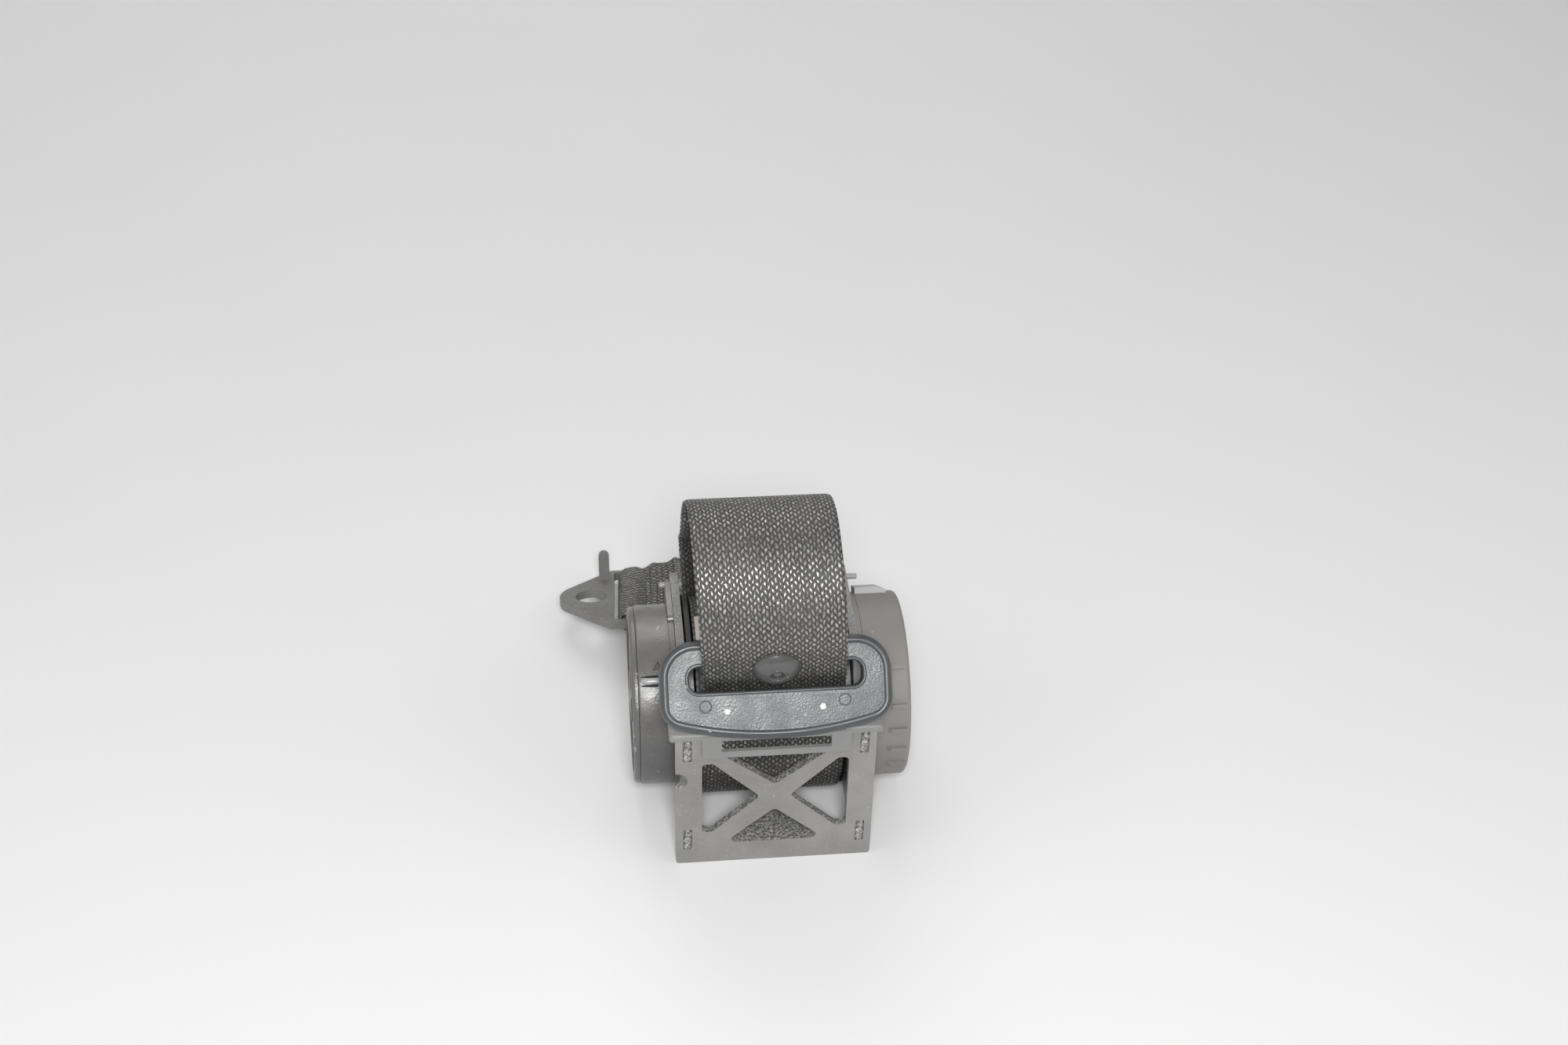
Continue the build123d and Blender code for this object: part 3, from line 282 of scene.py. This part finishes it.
def wound_webbing(name, level):
    """Webbing on the spool: woven rows on its face and the stacked turns on its edges."""
    n = Nodes(name)
    roll_r, turn_t, column_w, row_l = 31.6 * mm, 1.2 * mm, 1.6 * mm, 2.6 * mm
    # Whole columns and rows that are added to keep both counts above zero
    more = 100.0
    xyz = n.add("ShaderNodeSeparateXYZ", {0: n.place()})
    y = n.math("SUBTRACT", xyz.outputs["Y"], spool_y * mm)
    z = n.math("SUBTRACT", xyz.outputs["Z"], spool_z * mm)
    radius = n.math("SQRT", n.math("ADD", n.math("MULTIPLY", y, y), n.math("MULTIPLY", z, z)))
    angle = n.math("ARCTAN2", z, y)
    turns = n.math("SINE", n.math("MULTIPLY", radius, 2 * pi / turn_t))
    column = n.math("ADD", n.math("DIVIDE", xyz.outputs["X"], column_w), more)
    shift = n.math("MULTIPLY", n.math("MODULO", n.math("FLOOR", column), 2.0), 0.5)
    row = n.math("ADD", n.math("DIVIDE", n.math("MULTIPLY", angle, roll_r), row_l), shift)
    hump_u = n.math("SINE", n.math("MULTIPLY", n.math("FRACT", column), pi))
    hump_v = n.math("SINE", n.math("MULTIPLY", n.math("FRACT", n.math("ADD", row, more)), pi))
    weave = n.add("ShaderNodeCombineXYZ", {0: n.math("MULTIPLY", hump_u, hump_v)}).outputs[0]
    stack = n.add("ShaderNodeCombineXYZ", {0: turns}).outputs[0]
    on_edge = n.ramp(n.math("ABSOLUTE", n.facing("X")), 0.4, 0.6, 0, 1)
    relief = n.add("ShaderNodeSeparateXYZ", {0: n.mix(on_edge, weave, stack)}).outputs["X"]
    # Painted shade: darker where the relief is low, between the stacked turns and between the weave's
    # humps
    return n.feed(
        Base_Color=n.mix(n.ramp(relief, 0.2, 0.95, 0, 1), grey(level - 32, 1), grey(level + 14, 1)),
        Roughness=0.7,
        Normal=n.bump(relief, 0.0003, 0.8),
    )


def plain_weave(name, level, warm):
    """Light sewn patch with a fine plain weave."""
    n = Nodes(name)
    two_threads = 0.6 * mm
    xyz = n.add("ShaderNodeSeparateXYZ", {0: n.place()})
    warp = n.math("SINE", n.math("MULTIPLY", xyz.outputs["X"], 2 * pi / two_threads))
    weft = n.math("SINE", n.math("MULTIPLY", xyz.outputs["Y"], 2 * pi / two_threads))
    weave = n.math("MULTIPLY", warp, weft)
    return n.feed(
        Base_Color=n.mix(n.ramp(weave, -1, 1, 0, 1), grey(level - 18, warm), grey(level, warm)),
        Roughness=0.85,
        Normal=n.bump(weave, 0.00006, 0.6),
    )


def frosted(name, level):
    """Pale translucent moulding."""
    n = Nodes(name)
    return n.feed(
        Base_Color=n.mix(n.noise(900, 3, 0.6), grey(level - 35), grey(level)),
        Roughness=0.32,
        Transmission_Weight=0.35,
        Normal=n.bump(n.noise(1500, 2, 0.5), 0.00006, 0.5),
    )


def studio_paper(name, level):
    """Pale seamless paper."""
    n = Nodes(name)
    return n.feed(
        Base_Color=n.mix(n.noise(9, 3, 0.5), grey(level - 2), grey(level + 2)),
        Roughness=0.9,
        Specular_IOR_Level=0.2,
    )


steel = pressed_steel("coated_steel", 144, dust=0.6)
folded_steel = pressed_steel("folded_steel", 142, dust=0.4, grit=0.18)
cut_steel = pressed_steel("anchor_coated_steel", 124, dust=0.05, grit=0.1)
torn_steel = staked_steel("torn_steel")
bright = metal("bright_steel", 190, 0.28)
alloy = metal("cast_alloy", 105, 0.5)
cover = moulded("cover_plastic", 80, warm=0.5, rough=0.34, pebble=0.0001, dust=0.45,
                dust_and_top_light_tone=(150, 5), scale=1700, sparkle=0.3, gloss=1.0)
# Much lighter than the cover plastic: painted highlight on the cover's rib
rib_highlight_skin = moulded("rib_highlight_plastic", 175, warm=0, rough=0.25, dust_and_top_light_tone=(200, 0), scale=1700,
                   sparkle=0.3, gloss=1.0)
# Near-black plastic for the strips beside the rib: painted shade of its grooves
groove_shade = moulded("groove_shade_plastic", 40, warm=0, rough=0.7, pebble=0.00002, dust=0.0)
right_cover = moulded("right_cover_plastic", 132, warm=2.5, dust=0.35, dust_and_top_light_tone=(130, 7))
inner = moulded("inner_plastic", 185, warm=6, pebble=0.00002, dust=0.2, dust_and_top_light_tone=(190, 8))
guide = moulded("guide_plastic", 136, warm=0.5, rough=0.42, dust_and_top_light_tone=(160, 3))
grip = moulded("tongue_plastic", 92, warm=-1.5, rough=0.38, pebble=0.00016, dust=0.1,
               dust_and_top_light_tone=(150, 0), scale=1500, sparkle=0.7, gloss=0.8)
# Darker copy of the tongue plastic: painted shade on the rounded rim, the slot lip and the round marks
shaded_rim_skin = moulded("shaded_rim_plastic", 68, warm=-2.0, rough=0.34, pebble=0.00002, dust=0.1,
                   dust_and_top_light_tone=(130, 0), scale=2000, sparkle=0.1, gloss=0.7)
pale_dot = moulded("pale_plastic", 228, dust=0.2, dust_and_top_light_tone=(235, 0))
button_skin = moulded("button_plastic", 76, warm=0.5, rough=0.24, dust=0.1, dust_and_top_light_tone=(130, 2),
                      scale=2200, sparkle=0.1, gloss=0.8)
clip = moulded("clip_plastic", 178, warm=0, dust=0.2, dust_and_top_light_tone=(190, 0))
thread = moulded("thread", 70, rough=0.6, pebble=0.00002, dust=0.1)
pins = frosted("pin_plastic", 205)
web = woven("belt_webbing", level=78, glint=200)
roll_web = wound_webbing("wound_webbing", 108)
patch = plain_weave("patch_cloth", 228, 8)

finish_of = {
    "frame": folded_steel,
    "front_plate": steel,
    "anchor_plate": cut_steel,
    "web_guide": guide,
    "guard_pins": pins,
    "left_bush": inner,
    "right_bush": inner,
    "belt": web,
    "sewn_end": web,
    "stop_button": button_skin,
    "button_rivet": button_skin,
    "spring_housing": cover,
    "clock_spring": bright,
    "spring_housing_pins": inner,
    "spring_cover": cover,
    "spring_lid": cover,
    "pawl_pin": bright,
    "sensor_plate": right_cover,
    "sensor_plate_pins": inner,
    "sensor_cup": inner,
    "sensor_cover": right_cover,
    "cover_clip": clip,
    "spool": alloy,
    "torsion_bar": bright,
    "webbing_roll": roll_web,
    "sewn_patch": patch,
    "spring_arbor": inner,
    "lock_wheel": bright,
    "inertia_disc": alloy,
    "lock_pawl": bright,
    "sensor_ball": bright,
    "sensor_lever": inner,
    "tongue_plate": bright,
    "tongue_grip": grip,
}
for node_name, material in finish_of.items():
    mesh = nodes[node_name].data
    mesh.materials.clear()
    mesh.materials.append(material)

# The strap's centre line from the side, in millimetres and degrees: the last turn round the
# roll, the rise through guide and tongue, the loop over the top and the drop behind the reel
web_w, web_t = 47.0, 1.1
wrap_r, wrap_from, wrap_sweep = 32.95, 340.0, -160.0
roll_to_guide = 16.0
guide_r, guide_sweep = 25.0, 12.7
guide_to_loop = 30.0
loop_r, loop_sweep = 27.2, -180.0
shoulder_r, shoulder_sweep = 24.0, 40.0
slope = 37.3
drop_r, drop_y = 14.0, -9.7
foot_r, foot_sweep = 6.0, 72.0

# The diagonal fold behind the reel: its middle, its radius and the strap's fall towards it
fold_y, fold_z = 20.0, 24.0
fold_r = 1.5
fold_l = pi * fold_r
fall = radians(18.0)


def side_line():
    """Points (y, z) along the belt's centre line, about 1 mm apart, up to the run to its fold."""
    start = radians(wrap_from)
    points = [(spool_y + wrap_r * cos(start), spool_z + wrap_r * sin(start))]
    heading = wrap_from - 90

    def turn(radius, sweep):
        """Arc on from the last point; a sweep above zero is counter-clockwise."""
        nonlocal heading
        side = 1 if sweep > 0 else -1
        y, z = points[-1]
        normal = radians(heading + 90 * side)
        centre_y, centre_z = y + radius * cos(normal), z + radius * sin(normal)
        steps = max(3, int(abs(radians(sweep)) * radius))
        for i in range(1, steps + 1):
            a = radians(heading - 90 * side + sweep * i / steps)
            points.append((centre_y + radius * cos(a), centre_z + radius * sin(a)))
        heading += sweep

    def run(length):
        """Straight on from the last point."""
        y, z = points[-1]
        steps = max(2, int(length))
        for i in range(1, steps + 1):
            ahead = length * i / steps
            points.append((y + ahead * cos(radians(heading)), z + ahead * sin(radians(heading))))

    turn(wrap_r, wrap_sweep)
    run(roll_to_guide)
    turn(guide_r, guide_sweep)
    run(guide_to_loop)
    turn(loop_r, loop_sweep)
    turn(shoulder_r, shoulder_sweep)
    # Straight down the slope to the arc that turns it upright
    level_run = drop_y - points[-1][0] - drop_r * (1 - sin(radians(slope)))
    run(level_run / cos(radians(slope)))
    turn(drop_r, slope - 90)
    foot_y = drop_y + foot_r * (1 - sin(fall))
    foot_z = fold_z + (fold_y - foot_y) * sin(fall) / cos(fall) + foot_r * cos(fall)
    run(points[-1][1] - foot_z)
    turn(foot_r, foot_sweep)
    return points


# Length along the side line at each of its points, and the straight run on from it to the fold
outline = side_line()
lengths = [0.0]
for (y0, z0), (y1, z1) in zip(outline, outline[1:]):
    lengths.append(lengths[-1] + hypot(y1 - y0, z1 - z0))
side_length = lengths[-1]
to_fold = hypot(fold_y - outline[-1][0], fold_z - outline[-1][1])

# Directions of the fold
rearward = Vector((0, cos(fall), -sin(fall)))
under = Vector((0, -sin(fall), -cos(fall)))
fold_line = (right - rearward).normalized()
fold_ahead = (right + rearward).normalized()
fold_centre = Vector((0, fold_y, fold_z))

# The anchor's bar and its directions, set by how the anchor leans and turns
bar = Vector((-41.5, 27.1, 10.4))
bar_lean, bar_turn = radians(72), radians(2.0)
bar_normal = Vector((0, cos(bar_lean), sin(bar_lean)))
bar_out = Vector((-cos(bar_turn), sin(bar_lean) * sin(bar_turn), -cos(bar_lean) * sin(bar_turn)))
bar_up = bar_normal.cross(bar_out)

# The sewn end: its width, half the distance between its two layers, the lap that opens into the
# eye, the strap's length over that lap, the eye round the bar and the tail that is sewn back
sewn_width = 43.0
half_gap = 0.62
sewn_l = 8.0
open_l = 8.45
eye_r = 3.35
eye_l = pi * eye_r
tail_overlap = 14.0
s_tail = side_length + to_fold + fold_l / sqrt(2) - bar.x - sewn_l
strap_l = s_tail + 2 * open_l + eye_l + tail_overlap

# The strap's width and its shift to the side, in millimetres, against the length along it
rise_end = 108.0
crest = 186.5
width_knots = [(0, 46.4), (rise_end, 45.6), (rise_end + 20, 44.6), (crest, 45.4), (side_length, 46.4)]
shift_knots = [(rise_end + 12, 0.0), (crest, -2.4), (crest + 50, -3.4), (side_length, -1.0)]

# Its sag and rise behind the reel, against how far left and how far back a point is
sag_left = [(0, 0.0), (22, 1.0)]
sag_back = [(12, 0.0), (45, -0.9)]
rise_left = [(2, 0.0), (24, 4.4), (31, 4.6), (36.5, 1.3), (41.5, 0.0)]
rise_back = [(8, 0.0), (30, 0.45), (45, 1.0)]


def ease(t):
    """Smooth step from 0 to 1."""
    return t * t * (3 - 2 * t)


def blend_between(value, knots):
    """Smooth interpolation through (value, result) knots."""
    if value <= knots[0][0]:
        return knots[0][1]
    for (a, first), (b, second) in zip(knots, knots[1:]):
        if value <= b:
            return first + (second - first) * ease((value - a) / (b - a))
    return knots[-1][1]


def on_side(s):
    """Point (y, z) of the side line at length s."""
    low, high = 0, len(lengths) - 1
    while high - low > 1:
        middle = (low + high) // 2
        if lengths[middle] <= s:
            low = middle
        else:
            high = middle
    t = (s - lengths[low]) / (lengths[high] - lengths[low])
    (y0, z0), (y1, z1) = outline[low], outline[high]
    return y0 + (y1 - y0) * t, z0 + (z1 - z0) * t


def sag(point):
    """How far the folded strap sinks at its rear left corner."""
    return blend_between(-point.x, sag_left) * blend_between(point.y, sag_back)


def rise(point):
    """How far the strap's rear edge stands up on its way to the anchor."""
    return blend_between(-point.x, rise_left) * blend_between(point.y, rise_back)


def strap_middle(s, w):
    """Point of the strap's middle surface, s along it and w across it from -0.5 to 0.5."""
    x = w * blend_between(s, width_knots) + blend_between(s, shift_knots)
    if s <= side_length:
        y, z = on_side(s)
        return Vector((x, y, z))
    # Straight run, then round the diagonal fold, then away to the left underneath
    q = s - side_length - to_fold
    past = (x + q) / sqrt(2)
    base = fold_centre + (x - q) / sqrt(2) * fold_line
    if past <= 0:
        point = base + past * fold_ahead
    elif past <= fold_l:
        a = past / fold_r
        point = base + fold_r * sin(a) * fold_ahead + fold_r * (1 - cos(a)) * under
    else:
        point = base - (past - fold_l) * fold_ahead + 2 * fold_r * under
    point += sag(point) * bar_normal
    if past <= fold_l:
        return point
    # From the fold it settles towards the anchor's bar
    start, end = x - fold_l / sqrt(2), bar.x + sewn_l
    t = min(max((start - point.x) / (start - end), 0.0), 1.0)
    target = bar - bar_out * (point.x - bar.x) + w * sewn_width * bar_up + half_gap * bar_normal
    target += rise(target) * bar_normal
    return point.lerp(target, ease(t))


def opening(t, w, side):
    """Point on one side of the lap as it opens from flat at 0 to the eye at 1."""
    spread = half_gap + (eye_r - half_gap) * ease(t)
    point = bar + w * sewn_width * bar_up + (-sewn_l + sewn_l * t) * bar_out
    point += side * spread * bar_normal
    return point + rise(point) * bar_normal


def strap_point(s, w):
    """Point of the strap's middle, with its end sewn back on itself round the anchor's bar."""
    u = s - s_tail
    if u <= 0:
        return strap_middle(s, w)
    if u <= open_l:
        return opening(u / open_l, w, 1)
    u -= open_l
    if u <= eye_l:
        a = u / eye_r
        across = bar + w * sewn_width * bar_up
        return across + eye_r * sin(a) * bar_out + eye_r * cos(a) * bar_normal
    u -= eye_l
    if u <= open_l:
        return opening(1 - u / open_l, w, -1)
    return strap_middle(s_tail - (u - open_l), w) - 2 * half_gap * bar_normal


def make_strap():
    """The whole strap as one closed band with rounded edges."""
    columns = 46
    edge_thickness = {0: 0.35, 1: 0.92}
    step, fold_step = 1.0, 0.7
    # How far along and across each side of a point its slopes are taken
    reach_s, reach_w = 0.05, 0.004
    around = []
    for i in range(columns + 1):
        from_edge = min(i, columns - i)
        around.append((-0.5 + i / columns, edge_thickness.get(from_edge, 1.0)))
    rings, uvs = [], []
    s = 0.0
    while s < strap_l:
        upper, lower = [], []
        for w, thick in around:
            here = strap_point(s, w)
            along = strap_point(min(s + reach_s, strap_l), w) - strap_point(max(s - reach_s, 0.0), w)
            across = strap_point(s, w + reach_w) - strap_point(s, w - reach_w)
            half = along.cross(across).normalized() * (web_t / 2 * thick)
            upper.append((here - half) * mm)
            lower.append((here + half) * mm)
        rings.append(upper + lower[::-1])
        marks = [(s, w * web_w) for w, _ in around]
        uvs.append(marks + marks[::-1])
        s += fold_step if side_length < s < s_tail + 30 else step
    mesh = ring_mesh("strap", rings, uvs)
    shell = bmesh.new()
    shell.from_mesh(mesh)
    bmesh.ops.holes_fill(shell, edges=[edge for edge in shell.edges if edge.is_boundary])
    bmesh.ops.recalc_face_normals(shell, faces=shell.faces)
    shell.to_mesh(mesh)
    shell.free()
    return new_object("strap", mesh)


def add_bead(shell, matrix, radius):
    """Ball of a given radius in metres, placed and shaped by a matrix, added to a bmesh."""
    around, levels = 8, 5
    top = shell.verts.new(matrix @ Vector((0, 0, radius)))
    bottom = shell.verts.new(matrix @ Vector((0, 0, -radius)))
    rings = []
    for i in range(1, levels):
        out, height = radius * sin(pi * i / levels), radius * cos(pi * i / levels)
        ring = []
        for j in range(around):
            a = 2 * pi * j / around
            ring.append(shell.verts.new(matrix @ Vector((out * cos(a), out * sin(a), height))))
        rings.append(ring)
    for j in range(around):
        k = (j + 1) % around
        shell.faces.new((top, rings[0][j], rings[0][k]))
        for upper, lower in zip(rings, rings[1:]):
            shell.faces.new((upper[j], lower[j], lower[k], upper[k]))
        shell.faces.new((bottom, rings[-1][k], rings[-1][j]))


def make_stitches():
    """Rows of thread that sew the strap's end down in front of the anchor."""
    rows, row_gap, first_row = 7, 2.2, 2.0
    per_row, span = 16, 0.88
    bead_r, bead_lift, bead_shape = 0.8, 0.62, (1.1, 0.35, 0.22, 1)
    shell = bmesh.new()
    for row in range(rows):
        s = s_tail + first_row - row * row_gap
        for column in range(per_row):
            w = -span / 2 + span * (column + 0.25 + 0.5 * (row % 2)) / per_row
            here = strap_point(s, w)
            across = strap_point(s, w + 0.01) - here
            normal = (strap_point(s + 0.1, w) - here).cross(across).normalized()
            if normal.z < 0:
                normal = -normal
            across.normalize()
            place = Matrix.Translation((here + bead_lift * normal) * mm)
            turn = Matrix((across, normal.cross(across), normal)).transposed().to_4x4()
            add_bead(shell, place @ turn @ Matrix.Diagonal(bead_shape), bead_r * mm)
    mesh = bpy.data.meshes.new("strap_stitches")
    shell.to_mesh(mesh)
    shell.free()
    return new_object("strap_stitches", mesh)


strap = make_strap()
strap.data.materials.append(web)
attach(strap, "reel")
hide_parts("belt", "sewn_end")
stitches = make_stitches()
stitches.data.materials.append(thread)
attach(stitches, "reel")


# Small raised forms: the tongue's rounded rims and marks, the button's ring, the staked tenons
# and the rib. The tongue has flat coordinates of its own: x to the right, up along its face.
tongue_origin = Vector((0, -86.484, 72.9))
tongue_lean = radians(40)
tongue_up = Vector((0, sin(tongue_lean), cos(tongue_lean)))
tongue_out = Vector((0, -cos(tongue_lean), sin(tongue_lean)))
face_h = 2.05
half_w, top_up, side_low, bow_low = 36.0, 12.5, -12.6, -18.3
top_r, low_r = 11.0, 7.5
slot_half_l, slot_half_h, slot_up, slot_r = 27.0, 4.0, 0.7, 3.2


def on_tongue(x, up, height=face_h):
    """Point on the tongue, or at some height over its middle plane. Millimetres."""
    return tongue_origin + x * right + up * tongue_up + height * tongue_out


def arc_points(centre, radius, start, end, count):
    """Points (x, up) on an arc from start to end degrees."""
    angles = [radians(start + (end - start) * i / count) for i in range(count + 1)]
    return [(centre[0] + radius * cos(a), centre[1] + radius * sin(a)) for a in angles]


def ring_outline(inset):
    """The tongue's outer edge, inset by some millimetres: round corners and a bowed lower side."""
    bow_r = (half_w ** 2 + (side_low - bow_low) ** 2) / (2 * (side_low - bow_low))
    bow_up = bow_low + bow_r
    corner_x = half_w - low_r
    corner_up = bow_up - sqrt((bow_r - low_r) ** 2 - corner_x ** 2)
    tangent = degrees(atan2(corner_up - bow_up, corner_x))
    points = arc_points((half_w - top_r, top_up - top_r), top_r - inset, 90, 0, 14)
    points += arc_points((corner_x, corner_up), low_r - inset, 0, tangent, 12)
    points += arc_points((0, bow_up), bow_r - inset, tangent, -180 - tangent, 40)[1:-1]
    points += arc_points((-corner_x, corner_up), low_r - inset, -180 - tangent, -180, 12)
    return points + arc_points((top_r - half_w, top_up - top_r), top_r - inset, 180, 90, 14)


def slot_outline(grow):
    """The tongue's slot, grown by some millimetres."""
    points = []
    for side_x, side_up, start in ((1, 1, 0), (-1, 1, 90), (-1, -1, 180), (1, -1, 270)):
        centre = (side_x * (slot_half_l - slot_r), slot_up + side_up * (slot_half_h - slot_r))
        points += arc_points(centre, slot_r + grow, start, start + 90, 8)
    return points


def closed_band(name, outline_of, profile):
    """Closed rounded band along an outline; profile holds (offset, height) pairs."""
    rings = []
    for offset, height in profile:
        rings.append([on_tongue(x, up, height) * mm for x, up in outline_of(offset)])
    mesh = ring_mesh(name, rings + [rings[0]])
    shell = bmesh.new()
    shell.from_mesh(mesh)
    bmesh.ops.remove_doubles(shell, verts=shell.verts, dist=1e-6)
    bmesh.ops.recalc_face_normals(shell, faces=shell.faces)
    shell.to_mesh(mesh)
    shell.free()
    return new_object(name, mesh)


def disc_ring(shell, centre, axis, radius, thick, flat=1.0):
    """Round bead of a given thickness round an axis, added to a bmesh. Millimetres."""
    side = axis.orthogonal().normalized()
    other = axis.cross(side)
    around, across = 40, 10
    loops = []
    for i in range(around):
        a = 2 * pi * i / around
        out = cos(a) * side + sin(a) * other
        loop = []
        for j in range(across):
            b = 2 * pi * j / across
            point = centre + (radius + thick * cos(b)) * out + thick * flat * sin(b) * axis
            loop.append(shell.verts.new(point * mm))
        loops.append(loop)
    for i in range(around):
        first, second = loops[i], loops[(i + 1) % around]
        for j in range(across):
            k = (j + 1) % across
            shell.faces.new((first[j], second[j], second[k], first[k]))


def lump(shell, centre, axes, sizes, roughness=0.0):
    """Rounded lump with half sizes along three axes, its skin broken up by noise. Millimetres."""
    noise_scale = 1.7
    ball = bmesh.ops.create_icosphere(shell, subdivisions=3, radius=1.0)
    for vert in ball["verts"]:
        start = vert.co.copy()
        swell = 1 + roughness * noise.noise(start * noise_scale + centre)
        spot = sum((axes[i] * start[i] * sizes[i] for i in range(3)), Vector())
        vert.co = (centre + spot * swell) * mm


def settle(piece, material, body):
    """Give a piece its material and body."""
    piece.data.materials.append(material)
    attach(piece, body)


def finish_piece(name, shell, material, body):
    """Piece of a finished bmesh, with its material and body."""
    bmesh.ops.recalc_face_normals(shell, faces=shell.faces)
    mesh = bpy.data.meshes.new(name)
    shell.to_mesh(mesh)
    shell.free()
    settle(new_object(name, mesh), material, body)


def add_tongue_detail():
    """Rounded rim, slot lip and two plain round marks in a darker plastic that paints shade, and two
    pale flecks.
    """
    rim = [(-0.12, -1.5), (-0.12, 1.3), (0.3, 2.3), (0.9, 2.9), (1.6, 3.05), (2.3, 2.9), (2.9, 2.4),
           (3.3, 1.95), (2.2, 1.6), (0.8, 1.2), (0.6, -1.4)]
    settle(closed_band("tongue_rim", ring_outline, rim), shaded_rim_skin, "tongue")
    lip = [(-0.1, -2.2), (-0.1, 2.2), (0.15, 2.65), (0.6, 2.8), (1.1, 2.6), (1.6, 1.95), (0.8, 1.5),
           (0.4, -2.2)]
    settle(closed_band("tongue_lip", slot_outline, lip), shaded_rim_skin, "tongue")
    axes = (right, tongue_up, tongue_out)
    flecks = bmesh.new()
    for x, up in ((-15.48, -9.38), (14.17, -9.22)):
        lump(flecks, on_tongue(x, up), axes, (1.0, 1.0, 0.18), 0.3)
    finish_piece("tongue_flecks", flecks, pale_dot, "tongue")
    mark_r, mark_t = 1.8, 0.2
    marks = bmesh.new()
    for x, up in ((-22.16, -7.59), (21.08, -7.39)):
        disc_ring(marks, on_tongue(x, up), tongue_out, mark_r, mark_t)
    finish_piece("tongue_marks", marks, shaded_rim_skin, "tongue")


def add_button_detail():
    """Ring and domed pip in the middle of the stop button."""
    centre = Vector((0, -87.97, 79.5))
    axis = Vector((0, -0.9756, -0.2195)).normalized()
    ring_r, ring_t, ring_out, pip_out = 2.6, 0.5, 3.8, 3.1
    ring = bmesh.new()
    disc_ring(ring, centre + ring_out * axis, axis, ring_r, ring_t, 0.6)
    finish_piece("button_ring", ring, button_skin, "reel")
    pip = bmesh.new()
    lump(pip, centre + pip_out * axis, (right, axis.cross(right), axis), (1.5, 1.5, 0.7))
    finish_piece("button_pip", pip, button_skin, "reel")


def add_tenon_heads():
    """Rough staked tenon ends in the front plate's four slots."""
    slot_x, slot_z, face_y = 27.94, (10.8, 50.6), -93.9
    # Each end's three lumps: how far up the slot, half width and half height
    lumps = ((-2.9, 1.15, 1.5), (-0.3, 1.3, 1.7), (2.7, 1.2, 1.6))
    axes = (right, Vector((0, 0, 1)), Vector((0, -1, 0)))
    heads = bmesh.new()
    for x in (-slot_x, slot_x):
        for z in slot_z:
            for shift, width, size in lumps:
                centre = Vector((x + 0.15 * size * shift / 3, face_y, z + shift))
                lump(heads, centre, axes, (width, size, 0.7), 0.3)
    finish_piece("tenon_heads", heads, torn_steel, "reel")


def add_cover_rib():
    """Raised rib on the upper front of the left cover, lighter than the cover as a painted highlight,
    with a dark strip each side as painted shade of a groove.
    """
    angle = radians(129.3)
    rib_x, rib_out, groove_shade_out, groove_shade_gap = 36.6, 29.9, 29.44, 1.45
    out = Vector((0, cos(angle), sin(angle)))
    round_way = Vector((0, -sin(angle), cos(angle)))
    axes = (right, round_way, out)
    axle = Vector((0, spool_y, spool_z)) - rib_x * right
    rib = bmesh.new()
    lump(rib, axle + rib_out * out, axes, (4.6, 1.0, 0.7))
    finish_piece("cover_rib", rib, rib_highlight_skin, "reel")
    # Dark strips on the cover's skin, painted shade of a groove each side of the rib
    groove_shades = bmesh.new()
    for side in (-groove_shade_gap, groove_shade_gap):
        lump(groove_shades, axle + groove_shade_out * out + side * round_way, axes, (4.7, 0.42, 0.16))
    finish_piece("cover_groove_shades", groove_shades, groove_shade, "reel")


add_tongue_detail()
add_button_detail()
add_tenon_heads()
add_cover_rib()


# Studio
def add_light(name, place, target, size, power):
    """Round area light that shines from its place to a target."""
    data = bpy.data.lights.new(name, "AREA")
    data.shape = "DISK"
    data.size = size
    data.energy = power
    lamp = bpy.data.objects.new(name, data)
    lamp.location = place
    lamp.rotation_euler = (Vector(target) - Vector(place)).to_track_quat("-Z", "Y").to_euler()
    bpy.context.collection.objects.link(lamp)


def add_studio():
    """Pale paper dish round the part, one light from above the camera and soft fill."""
    floor_r, bend_r, wall_h = 1.6, 0.8, 1.2
    bend_steps, around = 8, 64
    profile = [(0.0005, 0.0), (0.3, 0.0), (0.8, 0.0), (floor_r, 0.0)]
    for i in range(1, bend_steps + 1):
        a = pi / 2 * i / bend_steps
        profile.append((floor_r + bend_r * sin(a), bend_r - bend_r * cos(a)))
    profile.append((floor_r + bend_r, wall_h))
    angles = [2 * pi * i / around for i in range(around)]
    rings = [[(radius * cos(a), radius * sin(a), z) for a in angles] for radius, z in profile]
    backdrop = new_object("backdrop", ring_mesh("backdrop", rings))
    backdrop.data.materials.append(studio_paper("studio_paper", 237))

    reel = (0, -0.05, 0.05)
    add_light("key", (-0.04, -0.68, 0.66), reel, size=0.2, power=4.9)
    add_light("fill", (0.9, -0.5, 0.9), reel, size=0.9, power=1.6)
    add_light("left", (-0.9, -0.3, 0.8), reel, size=0.9, power=1.6)
    add_light("rear", (-0.1, 0.85, 0.95), (0, 0.2, 0), size=0.8, power=3.0)
    world = bpy.data.worlds.new("studio")
    world.use_nodes = True
    sky = world.node_tree.nodes["Background"].inputs
    sky["Color"].default_value = (1, 1, 1, 1)
    sky["Strength"].default_value = 0.36
    bpy.context.scene.world = world
    bpy.context.scene.view_settings.view_transform = "Standard"


add_camera()
add_studio()
